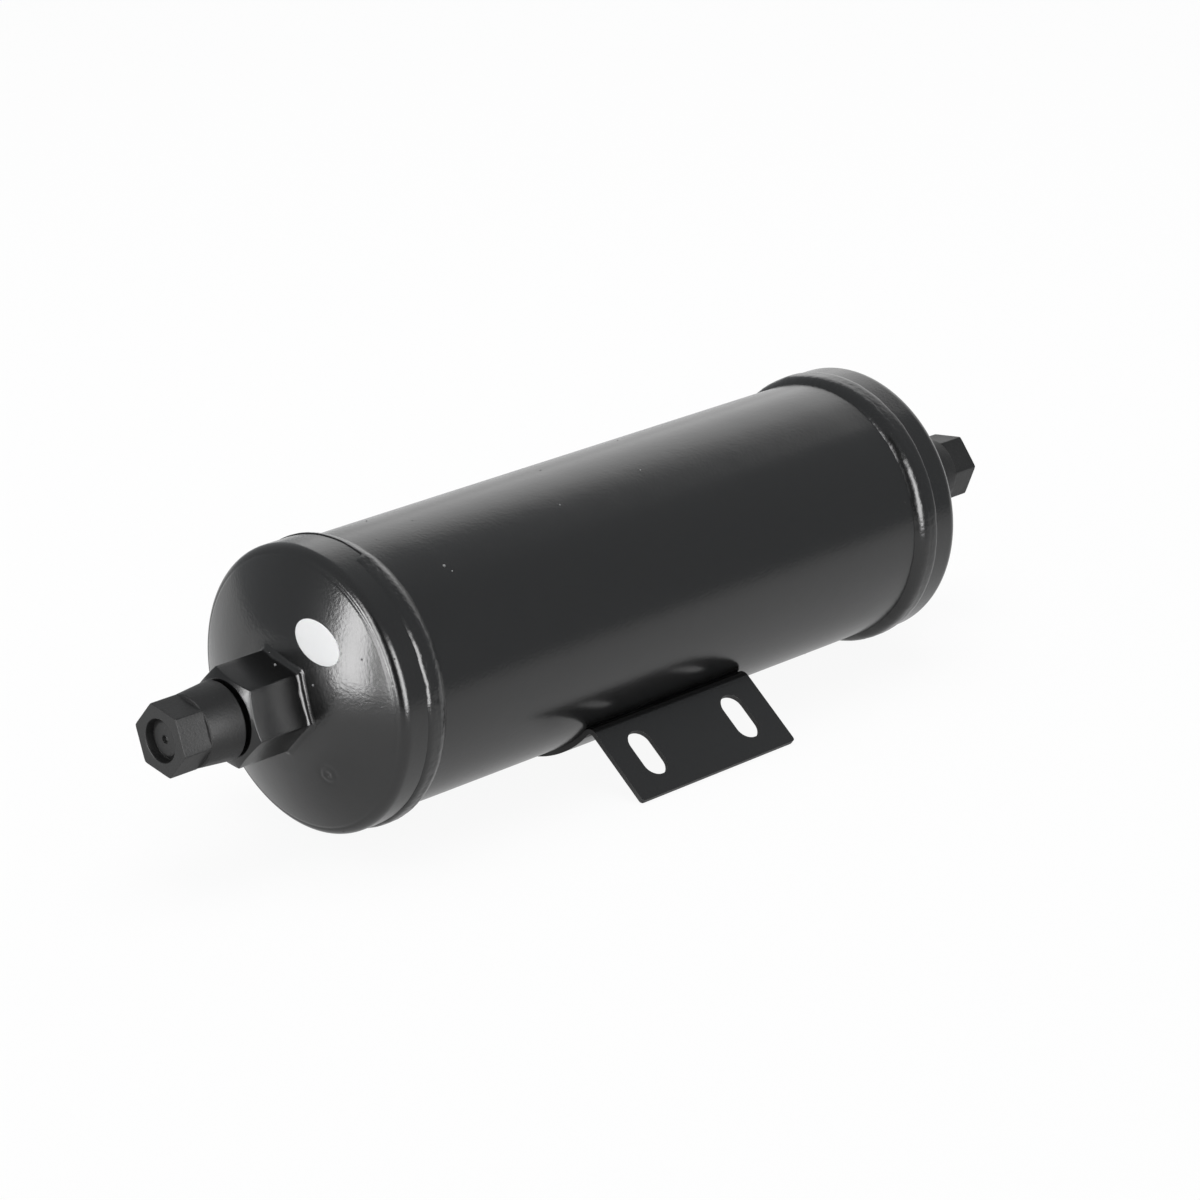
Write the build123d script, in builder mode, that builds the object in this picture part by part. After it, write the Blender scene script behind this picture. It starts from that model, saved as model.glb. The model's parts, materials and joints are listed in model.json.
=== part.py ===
# Receiver drier lying on its side: a welded steel canister with a screw port at each end
# and a slotted bracket that reaches the floor. Millimetres, +Z up, +X from inlet to outlet.
# The floor is z = 0 and the origin is in the middle of the floor under the whole object.
from math import asin
from math import atan2
from math import cos
from math import degrees
from math import radians
from math import sin
from math import sqrt
from math import tan
import os

from build123d import *

# Canister tube
tube_d = 76.2
tube_wall = 1.6
seam_spacing = 185.5
tube_lap = 9.5

# Dished end caps, pressed over the tube's ends
cap_wall = 1.65
skirt_setback = 3.0
straight_skirt = 10.1
knuckle_r = 3.3
crown_r = 80.0

# Fillet welds that close the caps
weld_rise = 2.6
weld_leg_on_tube = 4.7
weld_leg_on_cap = 3.1

# Port fittings: hexagon, threaded stem, pilot nose and the spigot through the cap
hex_across_flats = 24.0
inlet_hex_length = 17.7
outlet_hex_length = 13.1
inlet_hex_turn = 13.5
outlet_hex_turn = 13.5
hex_chamfer_circle_d = 22.4
hex_chamfer_angle = 18.0
spigot_d = 18.0
spigot_clearance = 0.1
inlet_spigot_inside = 2.0
outlet_spigot_inside = 4.5
thread_d = 15.8
thread_length = 9.5
thread_chamfer = 1.0
relief_d = 13.4
relief_length = 2.0
nose_d = 11.4
nose_length = 5.6
nose_chamfer = 0.6
groove_d = 8.8
groove_width = 2.3
groove_setback = 1.3
port_bore_d = 7.0
ring_section_d = 1.78
braze_leg = 2.0
braze_slope = 45.0

# Plastic port caps, screwed over the stems
port_cap_gap = 1.4
port_cap_clearance = 0.3
port_cap_mouth_d = 21.8
port_cap_neck_d = 19.8
port_cap_skirt_length = 10.9
port_cap_head_across_flats = 17.0
port_cap_head_length = 8.8
port_cap_head_circle_d = 19.0
port_cap_head_chamfer_angle = 30.0
port_cap_recess_d = 11.8
port_cap_recess_depth = 1.7
port_cap_gate_d = 1.8
port_cap_gate_depth = 0.4
port_cap_edge_r = 0.4
inlet_port_cap_turn = 10.5
outlet_port_cap_turn = 52.0

# Bracket: one strip folded into a saddle under the tube and a flat flange
bracket_width = 60.5
bracket_shift = -2.1
bracket_plate = 1.5
bracket_bend_r = 1.5
flange_reach = 64.3
flange_top_offset = 0.6
flange_corner_r = 1.0
saddle_end_angle = 76.0
saddle_corner_r = 4.0
slot_width = 8.0
slot_spacing = 36.7
slot_gap_to_tube = 6.2
slot_gap_to_edge = 5.4
spot_weld_d = 6.0
spot_weld_depth = 0.3
spot_weld_spacing = 38.0
spot_weld_angles = (24.0, 58.0)

# Oval sticker on the inlet cap
sticker_length = 16.0
sticker_width = 9.9
sticker_thickness = 0.15
sticker_from_axis = 23.5
sticker_azimuth = 125.7
sticker_turn = 12.0

# Drying bed between two pads and two perforated plates, pressed by the spring
bed_length = 130.0
bed_clearance = 0.2
pad_thickness = 6.0
plate_thickness = 1.2
plate_clearance = 0.3
plate_end_gap = 0.2
inlet_plate_rim = 5.0
plate_hole_d = 6.0
plate_hole_counts = (6, 12)
plate_hole_ring_radii = (13.0, 26.0)
spring_wire_d = 3.2
spring_mean_d = 48.0
spring_turns = 4.5

# Wire cup on the outlet spigot
strainer_wall = 0.6
strainer_depth = 4.0
strainer_slots = 8
strainer_slot_width = 1.6
strainer_hub_r = 2.1
strainer_rim = 0.9

# Worked out from the sizes above
tube_r = tube_d / 2
cap_r = tube_r + cap_wall
knuckle_start = skirt_setback + straight_skirt
knuckle_height = cap_r - knuckle_r
crown_back = sqrt((crown_r - knuckle_r) ** 2 - knuckle_height**2)
crown_x = knuckle_start - crown_back
crown_angle = degrees(atan2(knuckle_height, crown_back))
crest_r = tube_r + weld_rise
weld_toe_on_cap = weld_leg_on_tube + weld_leg_on_cap
fitting_hole_r = spigot_d / 2 + spigot_clearance


def crown_reach(radius, sphere_r=crown_r):
    """How far a cap's crown stands out from its seam, at a radius from the axis."""
    return crown_x + sqrt(sphere_r**2 - radius**2)


def hexagon_corner(across_flats):
    """How far a hexagon's corners are from its middle."""
    return across_flats / sqrt(3)


# Places along the axis at either end, counted outwards from the weld's toe on the tube
shoulder = crown_reach(fitting_hole_r)
nose_end = relief_length + thread_length + nose_length
port_cap_length = port_cap_skirt_length + port_cap_head_length
stem_and_cap = port_cap_gap + port_cap_length
inlet_reach = shoulder + inlet_hex_length + stem_and_cap
outlet_reach = shoulder + outlet_hex_length + stem_and_cap

# The flange's lower corner and both weld crests touch the floor together
flange_under = bracket_plate - flange_top_offset
flange_corner = sqrt(flange_reach**2 + flange_under**2)
flange_tilt = degrees(asin(crest_r / flange_corner) - atan2(flange_under, flange_reach))
tilt_cos = cos(radians(flange_tilt))
tilt_sin = sin(radians(flange_tilt))
flange_edge_y = -flange_reach * tilt_cos - flange_top_offset * tilt_sin

# The tube's axis and the two seams in the object's own frame
axis_y = -(flange_edge_y + crest_r) / 2
axis_z = crest_r
middle_x = (inlet_reach - outlet_reach) / 2
inlet_seam_x = middle_x - seam_spacing / 2
outlet_seam_x = middle_x + seam_spacing / 2
tube_axis = Axis((0, axis_y, axis_z), (1, 0, 0))

INLET = -1
OUTLET = 1
seam_x = {INLET: inlet_seam_x, OUTLET: outlet_seam_x}


def profile_plane(end):
    """Plane through the axis: local x runs outwards from an end's seam, local y is the radius."""
    return Plane(
        origin=(seam_x[end], axis_y, axis_z), x_dir=(end, 0, 0), z_dir=(0, -end, 0)
    )


def section_plane(end, reach):
    """Plane square to the axis, at a reach outwards from an end's seam."""
    return Plane(
        origin=(seam_x[end] + end * reach, axis_y, axis_z),
        x_dir=(0, 1, 0),
        z_dir=(end, 0, 0),
    )


def end_cap(end):
    """A dished head: straight skirt over the tube, tight knuckle, shallow crown, port hole."""
    with BuildPart() as cap:
        with BuildSketch(profile_plane(end)):
            with BuildLine():
                knuckle = (knuckle_start, knuckle_height)
                knuckle_sweep = 90 - crown_angle
                crown_in_r = crown_r - cap_wall
                hole_out = degrees(asin(fitting_hole_r / crown_r))
                hole_in = degrees(asin(fitting_hole_r / crown_in_r))
                outer = CenterArc(knuckle, knuckle_r, crown_angle, knuckle_sweep)
                inner = CenterArc(knuckle, knuckle_r - cap_wall, crown_angle, knuckle_sweep)
                crown = CenterArc((crown_x, 0), crown_r, hole_out, crown_angle - hole_out)
                under = CenterArc((crown_x, 0), crown_in_r, hole_in, crown_angle - hole_in)
                Line(crown @ 0, under @ 0)
                Polyline(
                    outer @ 1,
                    (skirt_setback, cap_r),
                    (skirt_setback, tube_r),
                    inner @ 1,
                )
            make_face()
        revolve(axis=tube_axis)
    return cap.part


def weld_bead(end):
    """A convex fillet weld in the corner between the tube and the cap's open edge."""
    with BuildPart() as bead:
        with BuildSketch(profile_plane(end)):
            with BuildLine():
                crest = (weld_leg_on_tube, crest_r)
                front = TangentArc(crest, (0, tube_r), tangent=(-1, 0))
                back = TangentArc(crest, (weld_toe_on_cap, cap_r), tangent=(1, 0))
                Polyline(
                    front @ 1,
                    (skirt_setback, tube_r),
                    (skirt_setback, cap_r),
                    back @ 1,
                )
            make_face()
        revolve(axis=tube_axis)
    return bead.part


def port_fitting(end, hex_length, hex_turn, spigot_inside):
    """A turned fitting: chamfered hexagon, relief, stem, grooved nose, spigot and bore."""
    face = shoulder + hex_length
    corner_r = hexagon_corner(hex_across_flats)
    circle_r = hex_chamfer_circle_d / 2
    chamfer_back = (corner_r - circle_r) * tan(radians(hex_chamfer_angle))
    thread_start = face + relief_length
    thread_end = thread_start + thread_length
    tip = thread_end + nose_length
    groove_start = thread_end + groove_setback
    groove_end = groove_start + groove_width
    inside = crown_reach(spigot_d / 2, crown_r - cap_wall) - spigot_inside
    with BuildPart() as fitting:
        with BuildSketch(section_plane(end, shoulder)):
            RegularPolygon(
                hex_across_flats / 2, 6, major_radius=False, rotation=end * hex_turn
            )
        extrude(amount=hex_length)
        with BuildSketch(profile_plane(end)):
            with BuildLine():
                Polyline(
                    (shoulder, 0),
                    (shoulder, corner_r),
                    (face - chamfer_back, corner_r),
                    (face, circle_r),
                    (face, 0),
                    close=True,
                )
            make_face()
        revolve(axis=tube_axis, mode=Mode.INTERSECT)
        with BuildSketch(profile_plane(end)):
            with BuildLine():
                Polyline(
                    (inside, 0),
                    (inside, spigot_d / 2),
                    (shoulder, spigot_d / 2),
                    (shoulder, relief_d / 2),
                    (thread_start, relief_d / 2),
                    (thread_start + thread_chamfer, thread_d / 2),
                    (thread_end - thread_chamfer, thread_d / 2),
                    (thread_end, thread_d / 2 - thread_chamfer),
                    (thread_end, nose_d / 2),
                    (groove_start, nose_d / 2),
                    (groove_start, groove_d / 2),
                    (groove_end, groove_d / 2),
                    (groove_end, nose_d / 2),
                    (tip - nose_chamfer, nose_d / 2),
                    (tip, nose_d / 2 - nose_chamfer),
                    (tip, 0),
                    close=True,
                )
            make_face()
        revolve(axis=tube_axis)
        with BuildSketch(section_plane(end, inside)):
            Circle(port_bore_d / 2)
        extrude(amount=tip - inside, mode=Mode.SUBTRACT)
    return fitting.part


def o_ring(end, hex_length):
    """The seal in the nose's groove, resting on the groove's floor."""
    groove_middle = (
        shoulder
        + hex_length
        + relief_length
        + thread_length
        + groove_setback
        + groove_width / 2
    )
    with BuildPart() as ring:
        with BuildSketch(profile_plane(end)):
            with Locations((groove_middle, groove_d / 2 + ring_section_d / 2)):
                Circle(ring_section_d / 2)
        revolve(axis=tube_axis)
    return ring.part


def braze_ring(end, hex_turn):
    """The fillet of filler metal round the hexagon's root, down to the crown."""
    foot = hex_across_flats / 2 + braze_leg
    base = crown_reach(hexagon_corner(2 * foot))
    with BuildPart() as ring:
        with BuildSketch(section_plane(end, base)):
            RegularPolygon(foot, 6, major_radius=False, rotation=end * hex_turn)
        extrude(amount=braze_leg, taper=braze_slope)
        with Locations((seam_x[end] + end * crown_x, axis_y, axis_z)):
            Sphere(crown_r, mode=Mode.SUBTRACT)
        with BuildSketch(section_plane(end, shoulder)):
            RegularPolygon(
                hex_across_flats / 2, 6, major_radius=False, rotation=end * hex_turn
            )
        extrude(amount=braze_leg, mode=Mode.SUBTRACT)
        with BuildSketch(section_plane(end, base)):
            Circle(fitting_hole_r)
        extrude(amount=braze_leg, mode=Mode.SUBTRACT)
    return ring.part


def port_cap(end, hex_length, cap_turn):
    """A moulded screw cap: tapered skirt, hexagon head, recessed top, stepped bore."""
    stem_face = shoulder + hex_length
    mouth = stem_face + port_cap_gap
    neck = mouth + port_cap_skirt_length
    top = neck + port_cap_head_length
    step = stem_face + relief_length + thread_length + port_cap_clearance
    bore_end = stem_face + nose_end + port_cap_clearance
    bore_r = thread_d / 2 + port_cap_clearance
    nose_bore_r = groove_d / 2 + ring_section_d + port_cap_clearance
    corner_r = hexagon_corner(port_cap_head_across_flats)
    circle_r = port_cap_head_circle_d / 2
    chamfer_back = (corner_r - circle_r) * tan(radians(port_cap_head_chamfer_angle))
    recess_floor = top - port_cap_recess_depth
    with BuildPart() as cap:
        with BuildSketch(section_plane(end, neck)):
            RegularPolygon(
                port_cap_head_across_flats / 2,
                6,
                major_radius=False,
                rotation=end * cap_turn,
            )
        extrude(amount=port_cap_head_length)
        with BuildSketch(profile_plane(end)):
            with BuildLine():
                Polyline(
                    (neck, 0),
                    (neck, corner_r),
                    (top - chamfer_back, corner_r),
                    (top, circle_r),
                    (top, 0),
                    close=True,
                )
            make_face()
        revolve(axis=tube_axis, mode=Mode.INTERSECT)
        with BuildSketch(profile_plane(end)):
            with BuildLine():
                Polyline(
                    (mouth, 0),
                    (mouth, port_cap_mouth_d / 2 - port_cap_edge_r),
                    (mouth + port_cap_edge_r, port_cap_mouth_d / 2),
                    (neck - port_cap_edge_r, port_cap_neck_d / 2),
                    (neck, port_cap_neck_d / 2 - port_cap_edge_r),
                    (neck, 0),
                    close=True,
                )
            make_face()
        revolve(axis=tube_axis)
        with BuildSketch(profile_plane(end)):
            with BuildLine():
                Polyline(
                    (mouth, 0),
                    (mouth, bore_r),
                    (step, bore_r),
                    (step, nose_bore_r),
                    (bore_end, nose_bore_r),
                    (bore_end, 0),
                    close=True,
                )
            make_face()
        revolve(axis=tube_axis, mode=Mode.SUBTRACT)
        with BuildSketch(profile_plane(end)):
            with BuildLine():
                Polyline(
                    (recess_floor - port_cap_gate_depth, 0),
                    (recess_floor - port_cap_gate_depth, port_cap_gate_d / 2),
                    (recess_floor, port_cap_gate_d / 2),
                    (recess_floor, port_cap_recess_d / 2),
                    (top, port_cap_recess_d / 2),
                    (top, 0),
                    close=True,
                )
            make_face()
        revolve(axis=tube_axis, mode=Mode.SUBTRACT)
    return cap.part


def flange_plane(height):
    """Plane along the flange: local x runs outwards from the axis, local y runs along +X."""
    return Plane(
        origin=(
            middle_x + bracket_shift,
            axis_y - height * tilt_sin,
            axis_z + height * tilt_cos,
        ),
        x_dir=(0, -tilt_cos, -tilt_sin),
        z_dir=(0, -tilt_sin, tilt_cos),
    )


# Tube
with BuildPart() as shell_tube:
    with BuildSketch(section_plane(OUTLET, tube_lap)):
        Circle(tube_r)
        Circle(tube_r - tube_wall, mode=Mode.SUBTRACT)
    extrude(amount=-(seam_spacing + 2 * tube_lap))

# Bracket, as a folded section with slots, rounded corners and spot-weld marks
strip_plane = Plane(
    origin=(middle_x + bracket_shift, axis_y, axis_z),
    x_dir=(0, -tilt_cos, -tilt_sin),
    z_dir=(-1, 0, 0),
)
saddle_r = tube_r + bracket_plate
bend_drop = flange_under + bracket_bend_r
bend_out = sqrt((saddle_r + bracket_bend_r) ** 2 - bend_drop**2)
bend_angle = degrees(atan2(bend_drop, bend_out))
with BuildPart() as mounting_bracket:
    with BuildSketch(strip_plane):
        with BuildLine():
            bend = (bend_out, -bend_drop)
            bend_sweep = 90 - bend_angle
            wrap = saddle_end_angle - bend_angle
            top_bend = CenterArc(bend, bracket_bend_r + bracket_plate, 90, bend_sweep)
            low_bend = CenterArc(bend, bracket_bend_r, 90, bend_sweep)
            saddle_in = CenterArc((0, 0), tube_r, -bend_angle, -wrap)
            saddle_out = CenterArc((0, 0), saddle_r, -bend_angle, -wrap)
            Line(saddle_in @ 1, saddle_out @ 1)
            Polyline(
                top_bend @ 0,
                (flange_reach, flange_top_offset),
                (flange_reach, -flange_under),
                low_bend @ 0,
            )
        make_face()
    extrude(amount=bracket_width / 2, both=True)
    flange_corners = (
        mounting_bracket.edges()
        .filter_by(Axis((0, 0, 0), (0, -tilt_sin, tilt_cos)))
        .sort_by(Axis((0, axis_y, axis_z), (0, -tilt_cos, -tilt_sin)))[-2:]
    )
    fillet(flange_corners, flange_corner_r)
    saddle_end_tilt = radians(flange_tilt + saddle_end_angle)
    saddle_corners = (
        mounting_bracket.edges()
        .filter_by(Axis((0, 0, 0), (0, -cos(saddle_end_tilt), -sin(saddle_end_tilt))))
        .sort_by(Axis.Y)[-2:]
    )
    fillet(saddle_corners, saddle_corner_r)
    slot_start = tube_r + slot_gap_to_tube
    slot_end = flange_reach - slot_gap_to_edge
    with BuildSketch(flange_plane(flange_top_offset)):
        with Locations(((slot_start + slot_end) / 2, 0)):
            with GridLocations(0, slot_spacing, 1, 2):
                SlotOverall(slot_end - slot_start, slot_width)
    extrude(amount=-bracket_plate, mode=Mode.SUBTRACT)
    for angle in spot_weld_angles:
        spot_tilt = radians(flange_tilt + angle)
        spot_out = (0, -cos(spot_tilt), -sin(spot_tilt))
        spot_plane = Plane(
            origin=(middle_x + bracket_shift, axis_y, axis_z), x_dir=(1, 0, 0), z_dir=spot_out
        )
        with BuildSketch(spot_plane.offset(saddle_r - spot_weld_depth)):
            with GridLocations(spot_weld_spacing, 0, 2, 1):
                Circle(spot_weld_d / 2)
        extrude(amount=bracket_plate, mode=Mode.SUBTRACT)

# Oval sticker, cut from a thin shell that lies on the inlet cap's crown
sticker_lift = asin(sticker_from_axis / crown_r)
sticker_radial = Vector(0, cos(radians(sticker_azimuth)), sin(radians(sticker_azimuth)))
sticker_along = Vector(0, -sin(radians(sticker_azimuth)), cos(radians(sticker_azimuth)))
sticker_normal = Vector(INLET, 0, 0) * cos(sticker_lift) + sticker_radial * sin(sticker_lift)
crown_centre = Vector(inlet_seam_x + INLET * crown_x, axis_y, axis_z)
sticker_shell_r = crown_r + sticker_thickness
with BuildPart() as oval_sticker:
    with BuildSketch(
        Plane(
            origin=crown_centre + sticker_normal * crown_r,
            x_dir=sticker_along,
            z_dir=sticker_normal,
        )
    ):
        Ellipse(sticker_length / 2, sticker_width / 2, rotation=sticker_turn)
    extrude(amount=sticker_width, both=True)
    with BuildSketch(profile_plane(INLET)):
        with BuildLine():
            low = CenterArc((crown_x, 0), crown_r, 0, crown_angle)
            high = CenterArc((crown_x, 0), sticker_shell_r, 0, crown_angle)
            Line(low @ 0, high @ 0)
            Line(low @ 1, high @ 1)
        make_face()
    revolve(axis=tube_axis, mode=Mode.INTERSECT)

# Drying bed, from the outlet's fixed plate back to the inlet's sliding plate
bed_r = tube_r - tube_wall - bed_clearance
plate_r = tube_r - tube_wall - plate_clearance
outlet_plate_reach = tube_lap + plate_end_gap
outlet_pad_reach = outlet_plate_reach - pad_thickness
bed_reach = outlet_pad_reach - bed_length
inlet_pad_reach = bed_reach - pad_thickness
inlet_plate_reach = inlet_pad_reach - plate_thickness


def disc(reach, length):
    """A plain round piece inside the tube, from a reach at the outlet's seam outwards."""
    with BuildPart() as piece:
        with BuildSketch(section_plane(OUTLET, reach)):
            Circle(bed_r)
        extrude(amount=length)
    return piece.part


def perforated_plate(reach, plate_radius, rim_length, rim_way):
    """A pressed plate with rings of holes and a rim; rim_way is the rim's side of the web."""
    rim_reach = reach + plate_thickness
    if rim_way == INLET:
        rim_reach = reach - rim_length
    with BuildPart() as plate:
        with BuildSketch(section_plane(OUTLET, reach)):
            Circle(plate_radius)
            Circle(plate_hole_d / 2, mode=Mode.SUBTRACT)
            for count, ring_r in zip(plate_hole_counts, plate_hole_ring_radii):
                with PolarLocations(ring_r, count):
                    Circle(plate_hole_d / 2, mode=Mode.SUBTRACT)
        extrude(amount=plate_thickness)
        with BuildSketch(section_plane(OUTLET, rim_reach)):
            Circle(plate_radius)
            Circle(plate_radius - plate_thickness, mode=Mode.SUBTRACT)
        extrude(amount=rim_length)
    return plate.part


# The outlet plate's rim ends where it meets the inside of the cap's knuckle
outlet_plate_r = tube_r - plate_clearance
knuckle_in_r = knuckle_r - cap_wall
rim_seat = knuckle_start + sqrt(knuckle_in_r**2 - (outlet_plate_r - knuckle_height) ** 2)
outlet_plate_rim = rim_seat - outlet_plate_reach - plate_thickness

# Spring between the inlet cap's crown and the sliding plate
wire_r = spring_wire_d / 2
coil_r = spring_mean_d / 2
spring_top = inlet_seam_x - crown_reach(coil_r, crown_r - cap_wall - wire_r)
spring_foot = outlet_seam_x + inlet_plate_reach - wire_r
spring_height = spring_foot - spring_top
with BuildPart() as compression_spring:
    with BuildLine():
        coil = Helix(
            pitch=spring_height / spring_turns,
            height=spring_height,
            radius=coil_r,
            center=(spring_top, axis_y, axis_z),
            direction=(1, 0, 0),
        )
    with BuildSketch(Plane(origin=coil @ 0, z_dir=coil % 0)):
        Circle(wire_r)
    sweep(path=coil, is_frenet=True)

# Strainer cup over the outlet spigot, with slots in its floor
spigot_tip = crown_reach(spigot_d / 2, crown_r - cap_wall) - outlet_spigot_inside
strainer_floor = spigot_tip - strainer_depth
strainer_grip = outlet_spigot_inside - strainer_wall
with BuildPart() as outlet_strainer:
    with BuildSketch(section_plane(OUTLET, strainer_floor)):
        Circle(spigot_d / 2 + strainer_wall)
    extrude(amount=strainer_depth + strainer_grip)
    with BuildSketch(section_plane(OUTLET, strainer_floor + strainer_wall)):
        Circle(spigot_d / 2)
    extrude(amount=strainer_depth + strainer_grip, mode=Mode.SUBTRACT)
    strainer_slot_end = spigot_d / 2 - strainer_rim
    with BuildSketch(section_plane(OUTLET, strainer_floor)):
        with PolarLocations((strainer_hub_r + strainer_slot_end) / 2, strainer_slots):
            SlotOverall(strainer_slot_end - strainer_hub_r, strainer_slot_width)
    extrude(amount=strainer_wall, mode=Mode.SUBTRACT)

pieces = {
    "shell_tube": shell_tube.part,
    "inlet_end_cap": end_cap(INLET),
    "outlet_end_cap": end_cap(OUTLET),
    "inlet_weld_bead": weld_bead(INLET),
    "outlet_weld_bead": weld_bead(OUTLET),
    "inlet_fitting": port_fitting(INLET, inlet_hex_length, inlet_hex_turn, inlet_spigot_inside),
    "outlet_fitting": port_fitting(
        OUTLET, outlet_hex_length, outlet_hex_turn, outlet_spigot_inside
    ),
    "inlet_braze_ring": braze_ring(INLET, inlet_hex_turn),
    "outlet_braze_ring": braze_ring(OUTLET, outlet_hex_turn),
    "inlet_o_ring": o_ring(INLET, inlet_hex_length),
    "outlet_o_ring": o_ring(OUTLET, outlet_hex_length),
    "inlet_port_cap": port_cap(INLET, inlet_hex_length, inlet_port_cap_turn),
    "outlet_port_cap": port_cap(OUTLET, outlet_hex_length, outlet_port_cap_turn),
    "mounting_bracket": mounting_bracket.part,
    "oval_sticker": oval_sticker.part,
    "compression_spring": compression_spring.part,
    "inlet_perforated_plate": perforated_plate(
        inlet_plate_reach, plate_r, inlet_plate_rim, INLET
    ),
    "outlet_perforated_plate": perforated_plate(
        outlet_plate_reach, outlet_plate_r, outlet_plate_rim, OUTLET
    ),
    "inlet_filter_pad": disc(inlet_pad_reach, pad_thickness),
    "outlet_filter_pad": disc(outlet_pad_reach, pad_thickness),
    "desiccant_bed": disc(bed_reach, bed_length),
    "outlet_strainer": outlet_strainer.part,
}

os.makedirs("parts", exist_ok=True)
for name, piece in pieces.items():
    piece.label = name
    export_step(piece, f"parts/{name}.step")
print("tube axis", round(axis_y, 3), round(axis_z, 3), "flange tilt", round(flange_tilt, 3))
print("seams", round(inlet_seam_x, 3), round(outlet_seam_x, 3))
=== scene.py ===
# Looks of a receiver drier that lies on its side: a welded, black painted steel canister with a
# capped screw port at each end and a slotted bracket. Metres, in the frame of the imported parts.
import json
import math

import bmesh
import bpy
import numpy as np
from mathutils import Matrix, Vector

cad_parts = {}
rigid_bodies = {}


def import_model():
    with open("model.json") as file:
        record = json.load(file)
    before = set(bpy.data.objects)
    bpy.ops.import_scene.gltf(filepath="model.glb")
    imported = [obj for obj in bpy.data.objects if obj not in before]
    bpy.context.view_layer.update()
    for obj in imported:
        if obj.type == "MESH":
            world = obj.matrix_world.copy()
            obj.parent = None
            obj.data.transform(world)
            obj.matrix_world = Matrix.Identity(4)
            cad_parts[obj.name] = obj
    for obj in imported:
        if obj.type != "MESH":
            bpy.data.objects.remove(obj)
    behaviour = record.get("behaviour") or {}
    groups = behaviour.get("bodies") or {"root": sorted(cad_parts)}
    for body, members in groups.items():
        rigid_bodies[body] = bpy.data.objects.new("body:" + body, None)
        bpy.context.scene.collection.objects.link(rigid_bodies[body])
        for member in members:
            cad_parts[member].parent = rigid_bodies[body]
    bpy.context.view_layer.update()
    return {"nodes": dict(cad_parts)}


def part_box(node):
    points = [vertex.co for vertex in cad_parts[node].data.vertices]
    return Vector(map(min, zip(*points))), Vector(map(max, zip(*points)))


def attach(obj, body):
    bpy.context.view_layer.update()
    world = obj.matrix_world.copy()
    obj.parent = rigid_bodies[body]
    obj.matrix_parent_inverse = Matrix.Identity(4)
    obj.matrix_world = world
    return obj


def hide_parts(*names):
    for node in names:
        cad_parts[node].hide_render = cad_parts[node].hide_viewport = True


for leftover in list(bpy.data.objects):
    bpy.data.objects.remove(leftover)
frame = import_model()
print("frame loaded, nodes:", len(frame["nodes"]))

mm = 0.001
fullTurn = 2 * math.pi

# Where the canister lies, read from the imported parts
tubeLow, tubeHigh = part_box("shell_tube")
capLow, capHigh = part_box("inlet_end_cap")
axisY = (tubeLow.y + tubeHigh.y) / 2
axisZ = (tubeLow.z + tubeHigh.z) / 2
outwards = {"inlet": -1, "outlet": 1}  # each end's way along X
seamX = {"inlet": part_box("inlet_weld_bead")[1].x, "outlet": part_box("outlet_weld_bead")[0].x}


class Wire:
    # an output socket that can be used in sums
    def __init__(self, tree, socket):
        self.tree = tree
        self.socket = socket

    def sum(self, operation, *values):
        return self.tree.add("ShaderNodeMath", {"operation": operation}, dict(enumerate(values)))

    def __add__(self, other):
        return self.sum("ADD", self, other)

    def __radd__(self, other):
        return self.sum("ADD", other, self)

    def __sub__(self, other):
        return self.sum("SUBTRACT", self, other)

    def __rsub__(self, other):
        return self.sum("SUBTRACT", other, self)

    def __mul__(self, other):
        return self.sum("MULTIPLY", self, other)

    def __rmul__(self, other):
        return self.sum("MULTIPLY", other, self)

    def __truediv__(self, other):
        return self.sum("DIVIDE", self, other)

    def __pow__(self, other):
        return self.sum("POWER", self, other)


class Tree:
    # a shader or geometry tree, built one node at a time
    def __init__(self, nodeTree):
        self.nodeTree = nodeTree

    def add(self, kind, settings=None, sockets=None, output=0):
        node = self.nodeTree.nodes.new(kind)
        for name, value in (settings or {}).items():
            setattr(node, name, value)
        for name, value in (sockets or {}).items():
            if isinstance(value, Wire):
                self.nodeTree.links.new(value.socket, node.inputs[name])
            else:
                node.inputs[name].default_value = value
        return None if output is None else Wire(self, node.outputs[output])

    def mixColour(self, share, first, second):
        return self.add("ShaderNodeMix", {"data_type": "RGBA"}, {0: share, 6: first, 7: second}, 2)

    def noise(self, place, scale, detail=2.0, roughness=0.5):
        sockets = {"Vector": place, "Scale": scale, "Detail": detail, "Roughness": roughness}
        return self.add("ShaderNodeTexNoise", None, sockets)

    def between(self, value, low, high):
        # 0 below low, 1 above high, a soft step from one to the other
        sockets = {"Value": value, "From Min": low, "From Max": high}
        return self.add("ShaderNodeMapRange", {"interpolation_type": "SMOOTHSTEP"}, sockets)


# Finishes

def grey(level, warmth=0.0):
    return (level * (1 + warmth), level, level * (1 - warmth), 1)


def emptyMaterial(name):
    material = bpy.data.materials.new(name)
    material.use_nodes = True
    material.node_tree.nodes.clear()
    return material, Tree(material.node_tree)


def startFinish(name):
    material, tree = emptyMaterial(name)
    return material, tree, tree.add("ShaderNodeTexCoord", output="Object")


def drifting(level, spread, noise):
    # a level that a noise moves up and down by half the spread
    return level - spread / 2 + spread * noise


def endFinish(tree, height, reach, sockets):
    bump = tree.add("ShaderNodeBump", None, {"Strength": 1.0, "Distance": reach, "Height": height})
    surface = tree.add("ShaderNodeBsdfPrincipled", None, {"Normal": bump, **sockets})
    tree.add("ShaderNodeOutputMaterial", None, {"Surface": surface}, None)


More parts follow.
